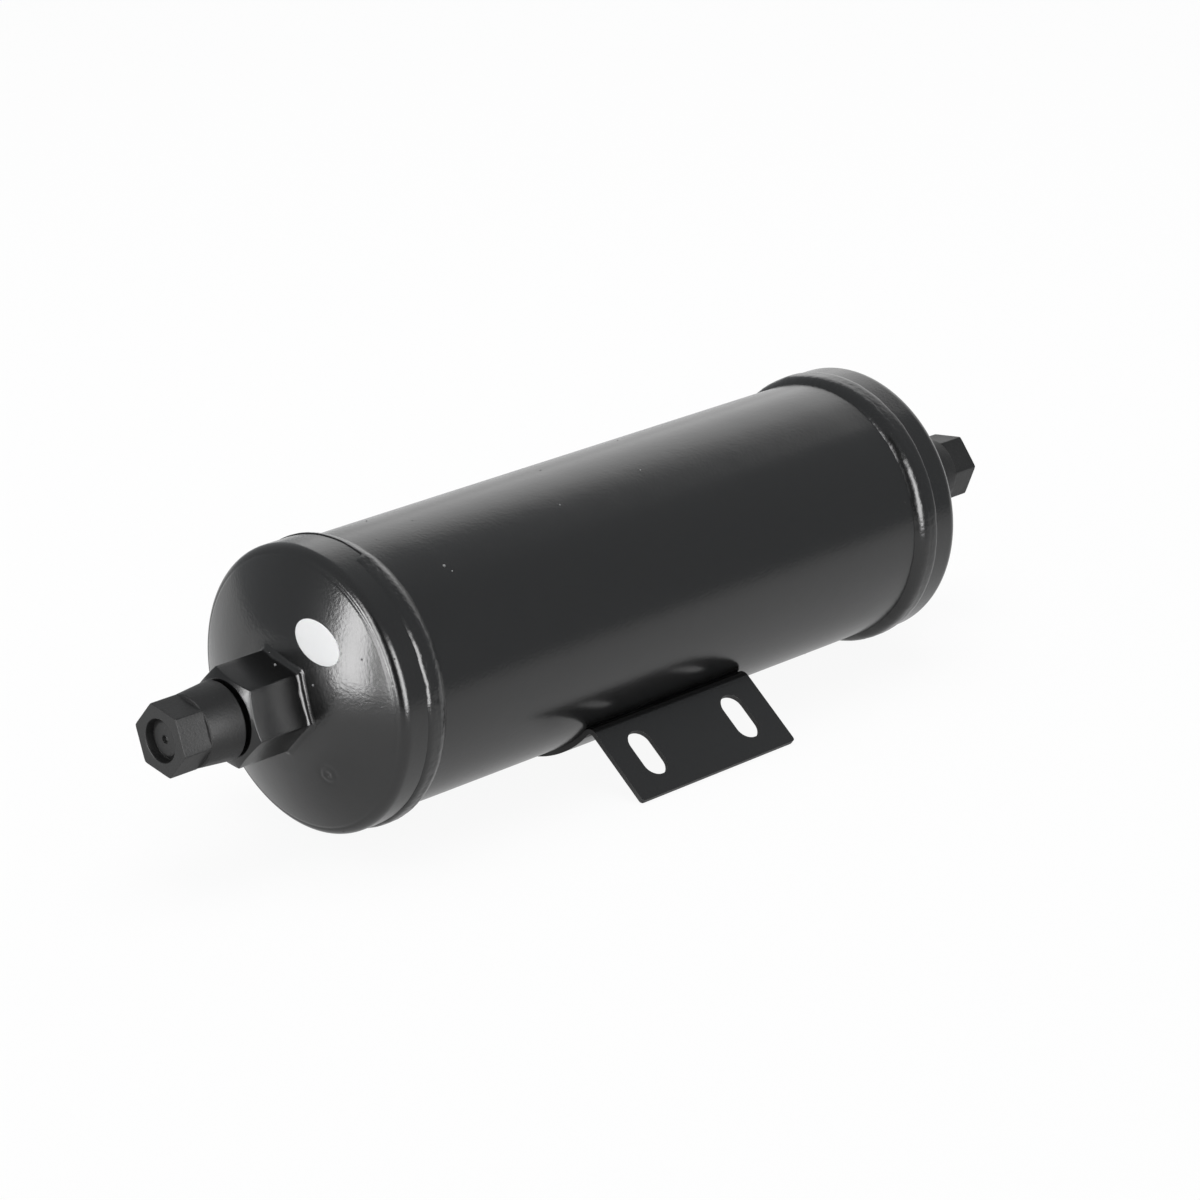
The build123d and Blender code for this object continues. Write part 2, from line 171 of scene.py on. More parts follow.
paint = {
    "colour": 0.009,
    "dusty": 0.03,
    "dustSize": 0.5 * mm,
    "dustFrom": 0.68,  # the noise level at which dust starts to show
    "dustTo": 0.8,
    "roughness": 0.2,
    "patchy": 0.06,
    "cutRoughness": 0.55,  # on sheared edges, where the paint lies thin
    "ior": 1.55,
    "cloudSize": 14 * mm,
    "cloudHeight": 2,  # where the peel's is 1
    "peelSize": 0.85 * mm,
    "peelDepth": 0.036 * mm,
}


def makePaint():
    # sprayed satin black: a slight orange peel, faint clouds and fine dust
    material, tree, place = startFinish("glossBlackPaint")
    cloud = tree.noise(place, 1 / paint["cloudSize"], 3.0)
    peel = tree.noise(place, 1 / paint["peelSize"], 2.0)
    grit = tree.noise(place, 1 / paint["dustSize"], 2.0, 0.7)
    dusted = tree.between(grit, paint["dustFrom"], paint["dustTo"])
    colour = tree.mixColour(dusted * cloud, grey(paint["colour"]), grey(paint["dusty"]))
    sheared = tree.add("ShaderNodeAttribute", {"attribute_name": "sheared"}, output="Fac")
    thinner = (paint["cutRoughness"] - paint["roughness"]) * sheared
    roughness = drifting(paint["roughness"], paint["patchy"], cloud) + thinner
    endFinish(tree, peel + paint["cloudHeight"] * cloud, paint["peelDepth"],
              {"Base Color": colour, "Roughness": roughness, "IOR": paint["ior"]})
    return material


fittingPaint = {
    "colour": 0.004,
    "roughness": 0.22,
    "patchy": 0.1,
    "cloudSize": 4 * mm,
    "toolMark": 0.55 * mm,
    "markStretch": (6, 1, 1),
    "markDepth": 0.012 * mm,
    "steel": 0.55,
    "steelWarmth": 0.03,
    "steelRoughness": 0.35,
    "steelPatchy": 0.2,
    "barePast": 134.9 * mm,  # paint ends under the mouth of the port cap, on both ports
    "fadeWidth": 0.5 * mm,
    "ragged": 0.8 * mm,
    "raggedSize": 1.5 * mm,
}


def makeFittingPaint():
    # thinner paint over a sawn and turned bar, with the plated stem left bare
    f = fittingPaint
    material, tree, place = startFinish("fittingPaint")
    split = tree.add("ShaderNodeSeparateXYZ", None, {"Vector": place}, "X")
    reach = tree.add("ShaderNodeMath", {"operation": "ABSOLUTE"}, {0: split})
    ragged = tree.noise(place, 1 / f["raggedSize"], 3.0) * f["ragged"]
    bare = tree.between(reach + ragged, f["barePast"], f["barePast"] + f["fadeWidth"])
    stretched = tree.add("ShaderNodeMapping", None, {"Vector": place, "Scale": f["markStretch"]})
    marks = tree.noise(stretched, 1 / f["toolMark"], 3.0, 0.6)
    cloud = tree.noise(place, 1 / f["cloudSize"], 3.0)
    colour = tree.mixColour(bare, grey(f["colour"]), grey(f["steel"], f["steelWarmth"]))
    painted = drifting(f["roughness"], f["patchy"], cloud)
    plated = drifting(f["steelRoughness"], f["steelPatchy"], marks)
    endFinish(tree, marks + cloud, f["markDepth"],
              {"Base Color": colour, "Roughness": painted * (1 - bare) + bare * plated, "Metallic": bare})
    return material


capPlastic = {
    "colour": 0.007,
    "scuffed": 0.035,
    "scuffSize": 1.2 * mm,
    "scuffFrom": 0.62,
    "scuffTo": 0.75,
    "roughness": 0.52,
    "patchy": 0.12,
    "cloudSize": 5 * mm,
    "ior": 1.44,
    "grainSize": 0.6 * mm,
    "grainDepth": 0.06 * mm,
}


def makeCapPlastic():
    # moulded black plastic, dull, with a fine grain and light scuffs
    c = capPlastic
    material, tree, place = startFinish("capPlastic")
    grain = tree.noise(place, 1 / c["grainSize"], 2.0)
    cloud = tree.noise(place, 1 / c["cloudSize"], 4.0, 0.6)
    rubbed = tree.noise(place, 1 / c["scuffSize"], 4.0, 0.75)
    scuff = tree.between(rubbed, c["scuffFrom"], c["scuffTo"])
    colour = tree.mixColour(scuff * cloud, grey(c["colour"]), grey(c["scuffed"]))
    roughness = drifting(c["roughness"], c["patchy"], cloud)
    endFinish(tree, grain + cloud, c["grainDepth"],
              {"Base Color": colour, "Roughness": roughness, "IOR": c["ior"]})
    return material


sealRubber = {
    "colour": grey(0.012),
    "bloom": (0.012, 0.03, 0.02, 1),
    "bloomSize": 2 * mm,
    "roughness": 0.5,
    "patchy": 0.1,
    "grainSize": 0.2 * mm,
    "grainDepth": 0.01 * mm,
}


def makeRubber():
    material, tree, place = startFinish("sealRubber")
    grain = tree.noise(place, 1 / sealRubber["grainSize"], 2.0)
    bloom = tree.noise(place, 1 / sealRubber["bloomSize"], 3.0)
    colour = tree.mixColour(bloom, sealRubber["colour"], sealRubber["bloom"])
    roughness = drifting(sealRubber["roughness"], sealRubber["patchy"], bloom)
    endFinish(tree, grain, sealRubber["grainDepth"], {"Base Color": colour, "Roughness": roughness})
    return material


labelPaper = {
    "colour": grey(0.9),
    "stain": (0.84, 0.83, 0.8, 1),
    "stainShare": 0.3,
    "stainSize": 3 * mm,
    "roughness": 0.55,
    "patchy": 0.1,
    "fibreSize": 0.15 * mm,
    "fibreDepth": 0.004 * mm,
}


def makePaper():
    # smooth coated label paper, bare, a little dirty
    material, tree, place = startFinish("stickerPaper")
    fibre = tree.noise(place, 1 / labelPaper["fibreSize"], 3.0, 0.6)
    stain = tree.noise(place, 1 / labelPaper["stainSize"], 3.0)
    colour = tree.mixColour(stain * labelPaper["stainShare"], labelPaper["colour"], labelPaper["stain"])
    roughness = drifting(labelPaper["roughness"], labelPaper["patchy"], fibre)
    endFinish(tree, fibre, labelPaper["fibreDepth"], {"Base Color": colour, "Roughness": roughness})
    return material


steelSurface = {
    "stretch": (0.15, 1, 1),
    "streakDepth": 0.006 * mm,
    "patchy": 0.12,
    "cloudSize": 6 * mm,
    "warmth": 0.02,
    "darkest": 0.8,
    "darkWarmth": 0.04,
}
steelKinds = {
    "springSteel": {"colour": 0.42, "roughness": 0.34, "streak": 0.3 * mm},
    "plainSteel": {"colour": 0.58, "roughness": 0.36, "streak": 0.5 * mm},
}


def makeSteel(name):
    # drawn or rolled steel, with streaks along X
    s, kind = steelSurface, steelKinds[name]
    material, tree, place = startFinish(name)
    stretched = tree.add("ShaderNodeMapping", None, {"Vector": place, "Scale": s["stretch"]})
    streaks = tree.noise(stretched, 1 / kind["streak"], 4.0, 0.6)
    cloud = tree.noise(place, 1 / s["cloudSize"], 3.0)
    clean = grey(kind["colour"], s["warmth"])
    stained = grey(kind["colour"] * s["darkest"], s["darkWarmth"])
    drawn = drifting(kind["roughness"], s["patchy"], streaks)
    endFinish(tree, streaks, s["streakDepth"],
              {"Base Color": tree.mixColour(cloud, clean, stained), "Roughness": drawn, "Metallic": 1.0})
    return material


feltPad = {
    "colour": (0.62, 0.6, 0.54, 1),
    "clumped": (0.5, 0.48, 0.42, 1),
    "clumpSize": 4 * mm,
    "fibreSize": 0.6 * mm,
    "fibreDepth": 0.4 * mm,
    "roughness": 0.95,
}


def makeFelt():
    material, tree, place = startFinish("felt")
    fibre = tree.noise(place, 1 / feltPad["fibreSize"], 6.0, 0.75)
    clump = tree.noise(place, 1 / feltPad["clumpSize"], 3.0)
    colour = tree.mixColour(clump, feltPad["colour"], feltPad["clumped"])
    endFinish(tree, fibre + clump, feltPad["fibreDepth"],
              {"Base Color": colour, "Roughness": feltPad["roughness"]})
    return material


settledDust = {
    "colour": grey(0.3),
    "roughness": 0.9,
    "patchy": 0.1,
    "fluffSize": 0.2 * mm,
    "fluffDepth": 0.05 * mm,
}


def makeDust():
    material, tree, place = startFinish("dust")
    fluff = tree.noise(place, 1 / settledDust["fluffSize"], 2.0)
    roughness = drifting(settledDust["roughness"], settledDust["patchy"], fluff)
    endFinish(tree, fluff, settledDust["fluffDepth"],
              {"Base Color": settledDust["colour"], "Roughness": roughness})
    return material


dryingBeads = {
    "size": 2.2 * mm,
    "dark": (0.62, 0.5, 0.34, 1),
    "pale": (0.72, 0.62, 0.46, 1),
    # painted shade: a dark colour laid in the gaps between the beads, where they would shade each other
    "gap": (0.2, 0.15, 0.1, 1),
    "gapShadeFrom": 0.35,  # from a bead's middle, where one bead's width is 1
    "gapShadeTo": 0.6,
    "depth": 1.0 * mm,
    "roughness": 0.8,
}


def makeBeads():
    # round beads pressed together, seen on the face of the bed, with painted shade in the gaps between
    # them
    b = dryingBeads
    material, tree, place = startFinish("dryingBeads")
    packing = {"Vector": place, "Scale": 1 / b["size"]}
    cell = tree.add("ShaderNodeTexVoronoi", None, packing, "Distance")
    tone = tree.add("ShaderNodeTexVoronoi", None, packing, "Color")
    level = tree.add("ShaderNodeSeparateColor", None, {"Color": tone}, "Red")
    colour = tree.mixColour(level, b["dark"], b["pale"])
    # the gaps between the beads are darkened with painted shade
    shaded = tree.mixColour(tree.between(cell, b["gapShadeFrom"], b["gapShadeTo"]), colour, b["gap"])
    endFinish(tree, 1 - cell, b["depth"], {"Base Color": shaded, "Roughness": b["roughness"]})
    return material


glossBlack = makePaint()
paintedSteel = makeFittingPaint()
blackPlastic = makeCapPlastic()
rubber = makeRubber()
paper = makePaper()
springSteel = makeSteel("springSteel")
plainSteel = makeSteel("plainSteel")
felt = makeFelt()
beads = makeBeads()
dust = makeDust()
print("finishes made:", len(bpy.data.materials))


# Mesh helpers. A row is an array of points (outwards from the seam, across, up) round the axis.

meshCare = {
    "cornerShare": 0.45,  # the most of the way to the next row that a softened corner takes
    "merge": 0.002 * mm,
    "sliver": 0.0005 * mm,
    "sharpAngle": 38,
}


def ring(reach, radius, angles):
    reach, radius, angles = np.broadcast_arrays(reach, radius, angles)
    return np.stack([reach, radius * np.cos(angles), radius * np.sin(angles)], axis=-1)


def evenAngles(count):
    return np.arange(count) * fullTurn / count


def arc(centre, radius, start, stop, steps):
    # (outwards, radius) points on an arc, angles in degrees from the outward way
    turns = np.radians(np.linspace(start, stop, steps + 1))
    return [(centre[0] + radius * math.cos(t), centre[1] + radius * math.sin(t)) for t in turns]


def softened(rows, cuts):
    # each row with a cut becomes four rows on a small curve; the rows close into a loop
    soft = []
    for index, (row, cut) in enumerate(zip(rows, cuts)):
        if not cut:
            soft.append(row)
            continue
        ends = []
        for beside in (rows[index - 1], rows[(index + 1) % len(rows)]):
            reach = np.linalg.norm(beside - row, axis=1, keepdims=True)
            share = np.minimum(cut, meshCare["cornerShare"] * reach) / np.maximum(reach, 1e-9)
            ends.append(row + (beside - row) * share)
        for t in (0, 1 / 3, 2 / 3, 1):
            soft.append((1 - t) ** 2 * ends[0] + 2 * t * (1 - t) * row + t * t * ends[1])
    return soft


def atEnd(end, points):
    world = np.array(points, float)
    world[..., 0] = seamX[end] + outwards[end] * world[..., 0]
    world[..., 1] += axisY
    world[..., 2] += axisZ
    return world


def gridFaces(rows, columns, wrapRows, wrapColumns, first):
    faces = []
    for i in range(rows if wrapRows else rows - 1):
        for j in range(columns if wrapColumns else columns - 1):
            below, beside = (i + 1) % rows, (j + 1) % columns
            corners = ((i, j), (i, beside), (below, beside), (below, j))
            faces.append([first + row * columns + column for row, column in corners])
    return faces


def cleanMesh(mesh, sharpAngle=meshCare["sharpAngle"]):
    shape = bmesh.new()
    shape.from_mesh(mesh)
    bmesh.ops.remove_doubles(shape, verts=shape.verts, dist=meshCare["merge"])
    bmesh.ops.dissolve_degenerate(shape, edges=shape.edges, dist=meshCare["sliver"])
    bmesh.ops.recalc_face_normals(shape, faces=shape.faces)
    shape.to_mesh(mesh)
    shape.free()
    mesh.shade_smooth()
    mesh.set_sharp_from_angle(angle=math.radians(sharpAngle))


def placePiece(name, data):
    piece = bpy.data.objects.new(name, data)
    bpy.context.scene.collection.objects.link(piece)
    return piece


def applyModifiers(piece):
    depsgraph = bpy.context.evaluated_depsgraph_get()
    mesh = bpy.data.meshes.new_from_object(piece.evaluated_get(depsgraph), depsgraph=depsgraph)
    piece.modifiers.clear()
    piece.data = mesh
    return piece


def finishPiece(piece, material, slotName, body, *replaced):
    piece.data.materials.clear()
    piece.data.materials.append(material)
    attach(piece, body)
    if replaced:
        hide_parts(*replaced)
    return piece


def pieceFromGrids(name, grids):
    # grids: (points, whether the rows close, whether the columns close)
    points, faces = [], []
    for grid, wrapRows, wrapColumns in grids:
        rows, columns = grid.shape[:2]
        faces += gridFaces(rows, columns, wrapRows, wrapColumns, len(points))
        points += grid.reshape(-1, 3).tolist()
    mesh = bpy.data.meshes.new(name)
    mesh.from_pydata(points, [], faces)
    cleanMesh(mesh)
    return placePiece(name, mesh)


def runTree(name, source, nodeTree, values):
    # a piece made by a geometry tree, turned into a plain mesh
    piece = placePiece(name, source)
    modifier = piece.modifiers.new("shape", "NODES")
    modifier.node_group = nodeTree
    for item in nodeTree.interface.items_tree:
        if item.item_type == "SOCKET" and item.in_out == "INPUT" and item.name in values:
            modifier[item.identifier] = values[item.name]
    return applyModifiers(piece)


def startGeometry(name, inputs):
    # a geometry tree with its named inputs, returned as wires
    nodeTree = bpy.data.node_groups.new(name, "GeometryNodeTree")
    nodeTree.interface.new_socket("Geometry", in_out="OUTPUT", socket_type="NodeSocketGeometry")
    nodeTree.interface.new_socket("Geometry", in_out="INPUT", socket_type="NodeSocketGeometry")
    for label, kind in inputs.items():
        nodeTree.interface.new_socket(label, in_out="INPUT", socket_type=kind)
    tree = Tree(nodeTree)
    given = nodeTree.nodes.new("NodeGroupInput")
    wires = {socket.name: Wire(tree, socket) for socket in given.outputs if socket.name}
    return tree, wires


def endGeometry(tree, geometry, material):
    real = tree.add("GeometryNodeRealizeInstances", None, {"Geometry": geometry})
    smooth = tree.add("GeometryNodeSetShadeSmooth", None, {"Geometry": real})
    coated = tree.add("GeometryNodeSetMaterial", None, {"Geometry": smooth, "Material": material})
    tree.add("NodeGroupOutput", None, {0: coated}, None)
    return tree.nodeTree


# Tube and dished end caps

tubeShape = {
    "wall": 1.6 * mm,
    "columns": 420,
    "rows": 100,
    "weldPull": 0.05 * mm,  # how far the weld's heat drew the tube in
    "pullWidth": 7 * mm,
    "pullPast": 4 * mm,  # its middle, past the weld's toe
    "pullPhase": {"inlet": 0.7, "outlet": 2.1},
    "pullWaves": ((3, 0.35, 1), (7, 0.25, 2)),  # waves in a turn, their share, times the phase
}


def makeTube():
    angles = evenAngles(tubeShape["columns"])
    radius = (tubeHigh.z - tubeLow.z) / 2
    reaches = np.linspace(tubeLow.x, tubeHigh.x, tubeShape["rows"])
    rows = []
    for x in reaches:
        pull = 0
        for end, phase in tubeShape["pullPhase"].items():
            gap = (x - seamX[end]) * outwards[end] + tubeShape["pullPast"]
            wave = 1 + sum(share * np.sin(count * angles + turns * phase)
                           for count, share, turns in tubeShape["pullWaves"])
            pull = pull + tubeShape["weldPull"] * wave * math.exp(-(gap / tubeShape["pullWidth"]) ** 2)
        rows.append(ring(x, radius - pull, angles))
    for x in reaches[::-1]:
        rows.append(ring(x, radius - tubeShape["wall"], angles))
    points = np.stack(rows)
    points[..., 1] += axisY
    points[..., 2] += axisZ
    tube = pieceFromGrids("canister_tube", [(points, True, True)])
    return finishPiece(tube, glossBlack, "black_gloss_paint", "canister", "shell_tube")


endCap = {
    "wall": 1.65 * mm,
    "skirtStart": 3.0 * mm,  # outwards from the weld's toe on the tube
    "straight": 10.1 * mm,
    "knuckle": 3.3 * mm,
    "crown": 80.0 * mm,
    "hole": 9.1 * mm,
    "columns": 400,
    "skirtRows": 14,
    "knuckleRows": (16, 8),  # outside and inside
    "crownRows": (140, 24),
    "creaseBefore": 0.6 * mm,  # faint press line where the crown turns into the knuckle
    "creaseWidth": 0.35 * mm,
    "creaseDepth": 0.12 * mm,
    "stampRadius": 2.9 * mm,  # the small press mark low on each crown
    "stampDepth": 0.3 * mm,
    "stampFromAxis": 23.8 * mm,
    "stampAngle": -134.0,
    "stampBowl": 0.9,  # its rim, as a share of its radius
    "stampFloor": 0.35,
    "heatPull": 0.12 * mm,  # how far the brazing heat drew the crown in
    "heatRadius": 15.5 * mm,
    "heatWidth": 3 * mm,
    "heatUneven": 0.3,
}
capRadius = (capHigh.z - capLow.z) / 2
knuckleReach = endCap["skirtStart"] + endCap["straight"]
knuckleHeight = capRadius - endCap["knuckle"]
crownBack = math.sqrt((endCap["crown"] - endCap["knuckle"]) ** 2 - knuckleHeight**2)
crownCentre = knuckleReach - crownBack
crownAngle = math.degrees(math.atan2(knuckleHeight, crownBack))


def crownReach(radius, sphere=endCap["crown"]):
    return crownCentre + np.sqrt(sphere**2 - np.asarray(radius) ** 2)


def stampedDepth(across, up):
    # a ring with a raised middle, as a press tool leaves
    turn = math.radians(endCap["stampAngle"])
    middle = endCap["stampFromAxis"] * np.array([math.cos(turn), math.sin(turn)])
    share = np.hypot(across - middle[0], up - middle[1]) / endCap["stampRadius"]
    bowl = np.exp(-((share / endCap["stampBowl"]) ** 4))
    ringed = np.cos(np.minimum(share, 1) * fullTurn)
    return endCap["stampDepth"] * bowl * (endCap["stampFloor"] + (1 - endCap["stampFloor"]) * ringed)


def makeEndCap(end):
    outerKnuckle, innerKnuckle = endCap["knuckleRows"]
    outerCrown, innerRows = endCap["crownRows"]
    angles = evenAngles(endCap["columns"])
    knuckle = (knuckleReach, knuckleHeight)
    middle = (crownCentre, 0)
    holeOut = math.degrees(math.asin(endCap["hole"] / endCap["crown"]))
    innerCrown = endCap["crown"] - endCap["wall"]
    holeIn = math.degrees(math.asin(endCap["hole"] / innerCrown))
    reaches = np.linspace(endCap["skirtStart"], knuckleReach, endCap["skirtRows"])
    outer = [(x, capRadius) for x in reaches[:-1]]
    outer += arc(knuckle, endCap["knuckle"], 90, crownAngle, outerKnuckle)[:-1]
    crownFirst = len(outer)
    outer += arc(middle, endCap["crown"], crownAngle, holeOut, outerCrown)
    inner = arc(middle, innerCrown, holeIn, crownAngle, innerRows)
    inner += arc(knuckle, endCap["knuckle"] - endCap["wall"], crownAngle, 90, innerKnuckle)[1:]
    inner += [(endCap["skirtStart"], capRadius - endCap["wall"])]
    points = np.stack([ring(x, r, angles) for x, r in outer + inner])
    crown = points[crownFirst:len(outer)]
    radius = np.hypot(crown[..., 1], crown[..., 2])
    pull = endCap["heatPull"] * np.exp(-(((radius - endCap["heatRadius"]) / endCap["heatWidth"]) ** 2))
    pull = pull * (1 + endCap["heatUneven"] * np.sin(2 * angles))
    edge = endCap["crown"] * math.sin(math.radians(crownAngle)) - endCap["creaseBefore"]
    crease = endCap["creaseDepth"] * np.exp(-(((radius - edge) / endCap["creaseWidth"]) ** 2))
    crown[..., 0] -= stampedDepth(crown[..., 1], crown[..., 2]) + pull + crease
    cap = pieceFromGrids(f"{end}_dished_cap", [(atEnd(end, points), True, True)])
    return finishPiece(cap, glossBlack, "black_gloss_paint", "canister", f"{end}_end_cap")


canisterTube = makeTube()
dishedCaps = {end: makeEndCap(end) for end in outwards}
print("tube and end caps made")


# Weld beads, by a geometry tree

weldBead = {
    "Around": 840,
    "Across": 76,
    "Leg On Tube": 3.6 * mm,
    "Leg On Cap": 3.8 * mm,
    "Toe Past Seam": 0.7 * mm,
    "Crest Rise": 2.6 * mm,  # below, where the canister rests on its beads
    "Top Sag": 0.6 * mm,
    "Shoulder": 5.0,  # how square the side on the cap is
    "Narrowing": 3.3 * mm,  # before the lap, where the arc was still cold
    "Cold Step": 0.05,  # how it comes and goes, in radians behind the lap
    "Cold From": 1.2,
    "Cold To": 3.5,
    "Ripples": 260.0,
    "Ripple Height": 0.012 * mm,
    "Ripple Bend": 0.05,  # how far a ripple's middle is set off from its ends, in radians
    "Ripple Wander": 9.0,
    "Wander": 1.1 * mm,
    "Unevenness": 0.2 * mm,
    "Lap Rise": 0.2 * mm,
    "Lap Width": 0.06,
    "Sunk": 0.05 * mm,  # into the tube and the skirt
}
weldRun = {  # each bead's own: where it meets its start in radians, its seed and how it flowed
    "inlet": {"Lap Angle": 1.91, "Seed": 3.0, "Toe Shoulder": 1.7, "Mottle Height": 0.34 * mm},
    "outlet": {"Lap Angle": 1.2, "Seed": 11.0, "Toe Shoulder": 2.7, "Mottle Height": 0.2 * mm},
}
slowNoise = {  # its scale, and the shift that makes it a pattern of its own
    "tubeToe": (5.0, 0.0),
    "capToe": (6.0, 40.0),
    "ripples": (9.0, 80.0),
    "height": (4.0, 120.0),
}
mottleNoise = {"scale": 28.0, "detail": 4.0, "roughness": 0.6}


def weldTree():
    sizes = {"Around": "NodeSocketInt", "Across": "NodeSocketInt"}
    others = [label for label in weldBead if label not in sizes] + list(weldRun["inlet"])
    others += ["Tube Radius", "Cap Radius", "Seam X", "Outwards", "Axis Y", "Axis Z"]
    sizes.update({label: "NodeSocketFloat" for label in others})
    tree, given = startGeometry("weldBead", sizes)

    def maths(operation, *values):
        return tree.add("ShaderNodeMath", {"operation": operation}, dict(enumerate(values)))

    def drift(name):
        # slow noise round the bead, the same at both ends of the turn
        scale, shift = slowNoise[name]
        sockets = {"Vector": around, "W": given["Seed"] + shift, "Scale": scale, "Detail": 3.0}
        return tree.add("ShaderNodeTexNoise", {"noise_dimensions": "4D"}, sockets) - 0.5

    counts = {"Vertices X": given["Around"], "Vertices Y": given["Across"]}
    grid = tree.add("GeometryNodeMeshGrid", None, {"Size X": 1.0, "Size Y": 1.0, **counts})
    place = tree.add("GeometryNodeInputPosition")
    angle = (tree.add("ShaderNodeSeparateXYZ", None, {0: place}, "X") + 0.5) * fullTurn
    # 0 to 1 over the top of the bead, and on to 2 back under it
    lift = (tree.add("ShaderNodeSeparateXYZ", None, {0: place}, "Y") + 0.5) * 2
    across = 1 - maths("ABSOLUTE", lift - 1)
    cosine, sine = maths("COSINE", angle), maths("SINE", angle)
    around = tree.add("ShaderNodeCombineXYZ", None, {"X": cosine, "Y": sine})
    behindLap = maths("WRAP", given["Lap Angle"] - angle, fullTurn, 0.0)
    warmed = tree.between(behindLap, given["Cold From"], given["Cold To"])
    cold = tree.between(behindLap, 0.0, given["Cold Step"]) * (1 - warmed)
    toeOnTube = given["Toe Past Seam"] + given["Wander"] * drift("tubeToe")
    toeOnCap = given["Wander"] * drift("capToe") - given["Narrowing"] * cold
    frontLeg = given["Leg On Tube"] + toeOnTube
    backLeg = given["Leg On Cap"] + toeOnCap
    reach = across * (frontLeg + backLeg) - toeOnTube
    front = maths("MAXIMUM", given["Leg On Tube"] - reach, 0.0) / frontLeg
    back = maths("MAXIMUM", reach - given["Leg On Tube"], 0.0) / backLeg
    rise = given["Crest Rise"] - given["Top Sag"] * (0.5 + 0.5 * sine)
    crest = given["Tube Radius"] + rise
    fallToTube = rise * front ** given["Toe Shoulder"]
    fallToCap = (crest - given["Cap Radius"]) * back ** given["Shoulder"]
    middle = 1 - (2 * across - 1) ** 2.0
    bent = angle + given["Ripple Bend"] * middle
    chevron = given["Ripples"] * bent + given["Ripple Wander"] * drift("ripples")
    ripple = given["Ripple Height"] * (0.5 + 0.5 * maths("SINE", chevron)) * middle
    along = reach / given["Tube Radius"]
    flow = tree.add("ShaderNodeCombineXYZ", None, {"X": cosine, "Y": sine, "Z": along})
    mottle = given["Mottle Height"] * tree.noise(flow, **mottleNoise) * middle
    uneven = given["Unevenness"] * maths("ABSOLUTE", drift("height")) * 2 * middle
    turned = maths("PINGPONG", maths("ABSOLUTE", angle - given["Lap Angle"]), math.pi)
    lap = given["Lap Rise"] * maths("EXPONENT", 0 - (turned / given["Lap Width"]) ** 2.0) * middle
    onTop = crest - (fallToTube + fallToCap) - (ripple + mottle) - uneven + lap
    below = given["Tube Radius"] + (given["Cap Radius"] - given["Tube Radius"]) * across - given["Sunk"]
    isBelow = maths("GREATER_THAN", lift, 1.0)
    radius = (onTop - given["Sunk"] * (1 - middle)) * (1 - isBelow) + below * isBelow
    moved = tree.add("ShaderNodeCombineXYZ", None, {
        "X": given["Seam X"] + given["Outwards"] * reach,
        "Y": given["Axis Y"] + radius * cosine,
        "Z": given["Axis Z"] + radius * sine,
    })
    shaped = tree.add("GeometryNodeSetPosition", None, {"Geometry": grid, "Position": moved})
    return endGeometry(tree, shaped, glossBlack)


def makeWeld(end, nodeTree):
    values = {
        **weldBead,
        **weldRun[end],
        "Tube Radius": (tubeHigh.z - tubeLow.z) / 2,
        "Cap Radius": capRadius,
        "Seam X": seamX[end],
        "Outwards": float(outwards[end]),
        "Axis Y": axisY,
        "Axis Z": axisZ,
    }
    bead = runTree(f"{end}_weld", bpy.data.meshes.new(f"{end}_weld"), nodeTree, values)
    cleanMesh(bead.data)
    return finishPiece(bead, glossBlack, "black_gloss_paint", "canister", f"{end}_weld_bead")


weldNodes = weldTree()
for end in outwards:
    makeWeld(end, weldNodes)
print("weld beads made")


# Hexagons, threads and port caps

def farthestAngle(node, past):
    # the way from the axis to a hexagon's corner, read from the node
    best = max((v.co for v in frame["nodes"][node].data.vertices if abs(v.co.x) > past),
               key=lambda c: math.hypot(c.y - axisY, c.z - axisZ))
    return math.atan2(best.z - axisZ, best.y - axisY)


def hexOutline(acrossFlats, cornerRound, corner, arcSteps=4, flatSteps=12):
    # angles and radii round a hexagon with rounded corners; corner is one corner's angle
    inside = acrossFlats / 2 - cornerRound
    points = []
    for side in range(6):
        turn = corner + side * math.pi / 3
        centre = np.array([math.cos(turn), math.sin(turn)]) * inside / math.cos(math.pi / 6)
        bends = turn + np.linspace(-math.pi / 6, math.pi / 6, arcSteps + 1)
        rounded = centre + cornerRound * np.stack([np.cos(bends), np.sin(bends)], axis=1)
        nextTurn = turn + math.pi / 3
        nextCentre = np.array([math.cos(nextTurn), math.sin(nextTurn)]) * inside / math.cos(math.pi / 6)
        nextStart = nextCentre + cornerRound * np.array([math.cos(bends[-1]), math.sin(bends[-1])])
        shares = np.linspace(0, 1, flatSteps + 1)[1:-1, None]
        points += [*rounded, *(rounded[-1] + (nextStart - rounded[-1]) * shares)]
    points = np.array(points)
    return np.unwrap(np.arctan2(points[:, 1], points[:, 0])), np.hypot(points[:, 0], points[:, 1])


def chamfered(face, outline, circle, angle):
    # how far out each column of a hexagon runs before its turned chamfer
    return face - np.maximum(outline - circle, 0) * math.tan(math.radians(angle))


screwThread = {
    "pitch": 25.4 / 18 * mm,
    "depth": 0.84 * mm,
    # along one pitch, and height from root to crest
    "profile": ((0, 0), (0.1, 0), (0.27, 0.45), (0.44, 1), (0.56, 1), (0.73, 0.45), (0.9, 0), (1, 0)),
}


def threadBand(start, stop, radius, angles, limits, way):
    # a helical V thread as one ribbon, cut off by its limits at both ends
    pitch = screwThread["pitch"]
    turns = math.ceil((stop - start) / pitch) + 2
    steps = np.arange(turns * len(angles) + 1)
    swept = angles[steps % len(angles)] + fullTurn * (steps // len(angles))
    first = start - pitch * (2 if way > 0 else -turns + 1)
    columns = []
    for share, height in screwThread["profile"]:
        reach = first + way * pitch * (swept - angles[0]) / fullTurn + pitch * share
        depth = np.full(len(steps), radius - screwThread["depth"] * (1 - height))
        inside = np.clip(reach, start, stop)
        columns.append(ring(inside, np.minimum(depth, limits(inside)), swept))
    return np.stack(columns, axis=1)


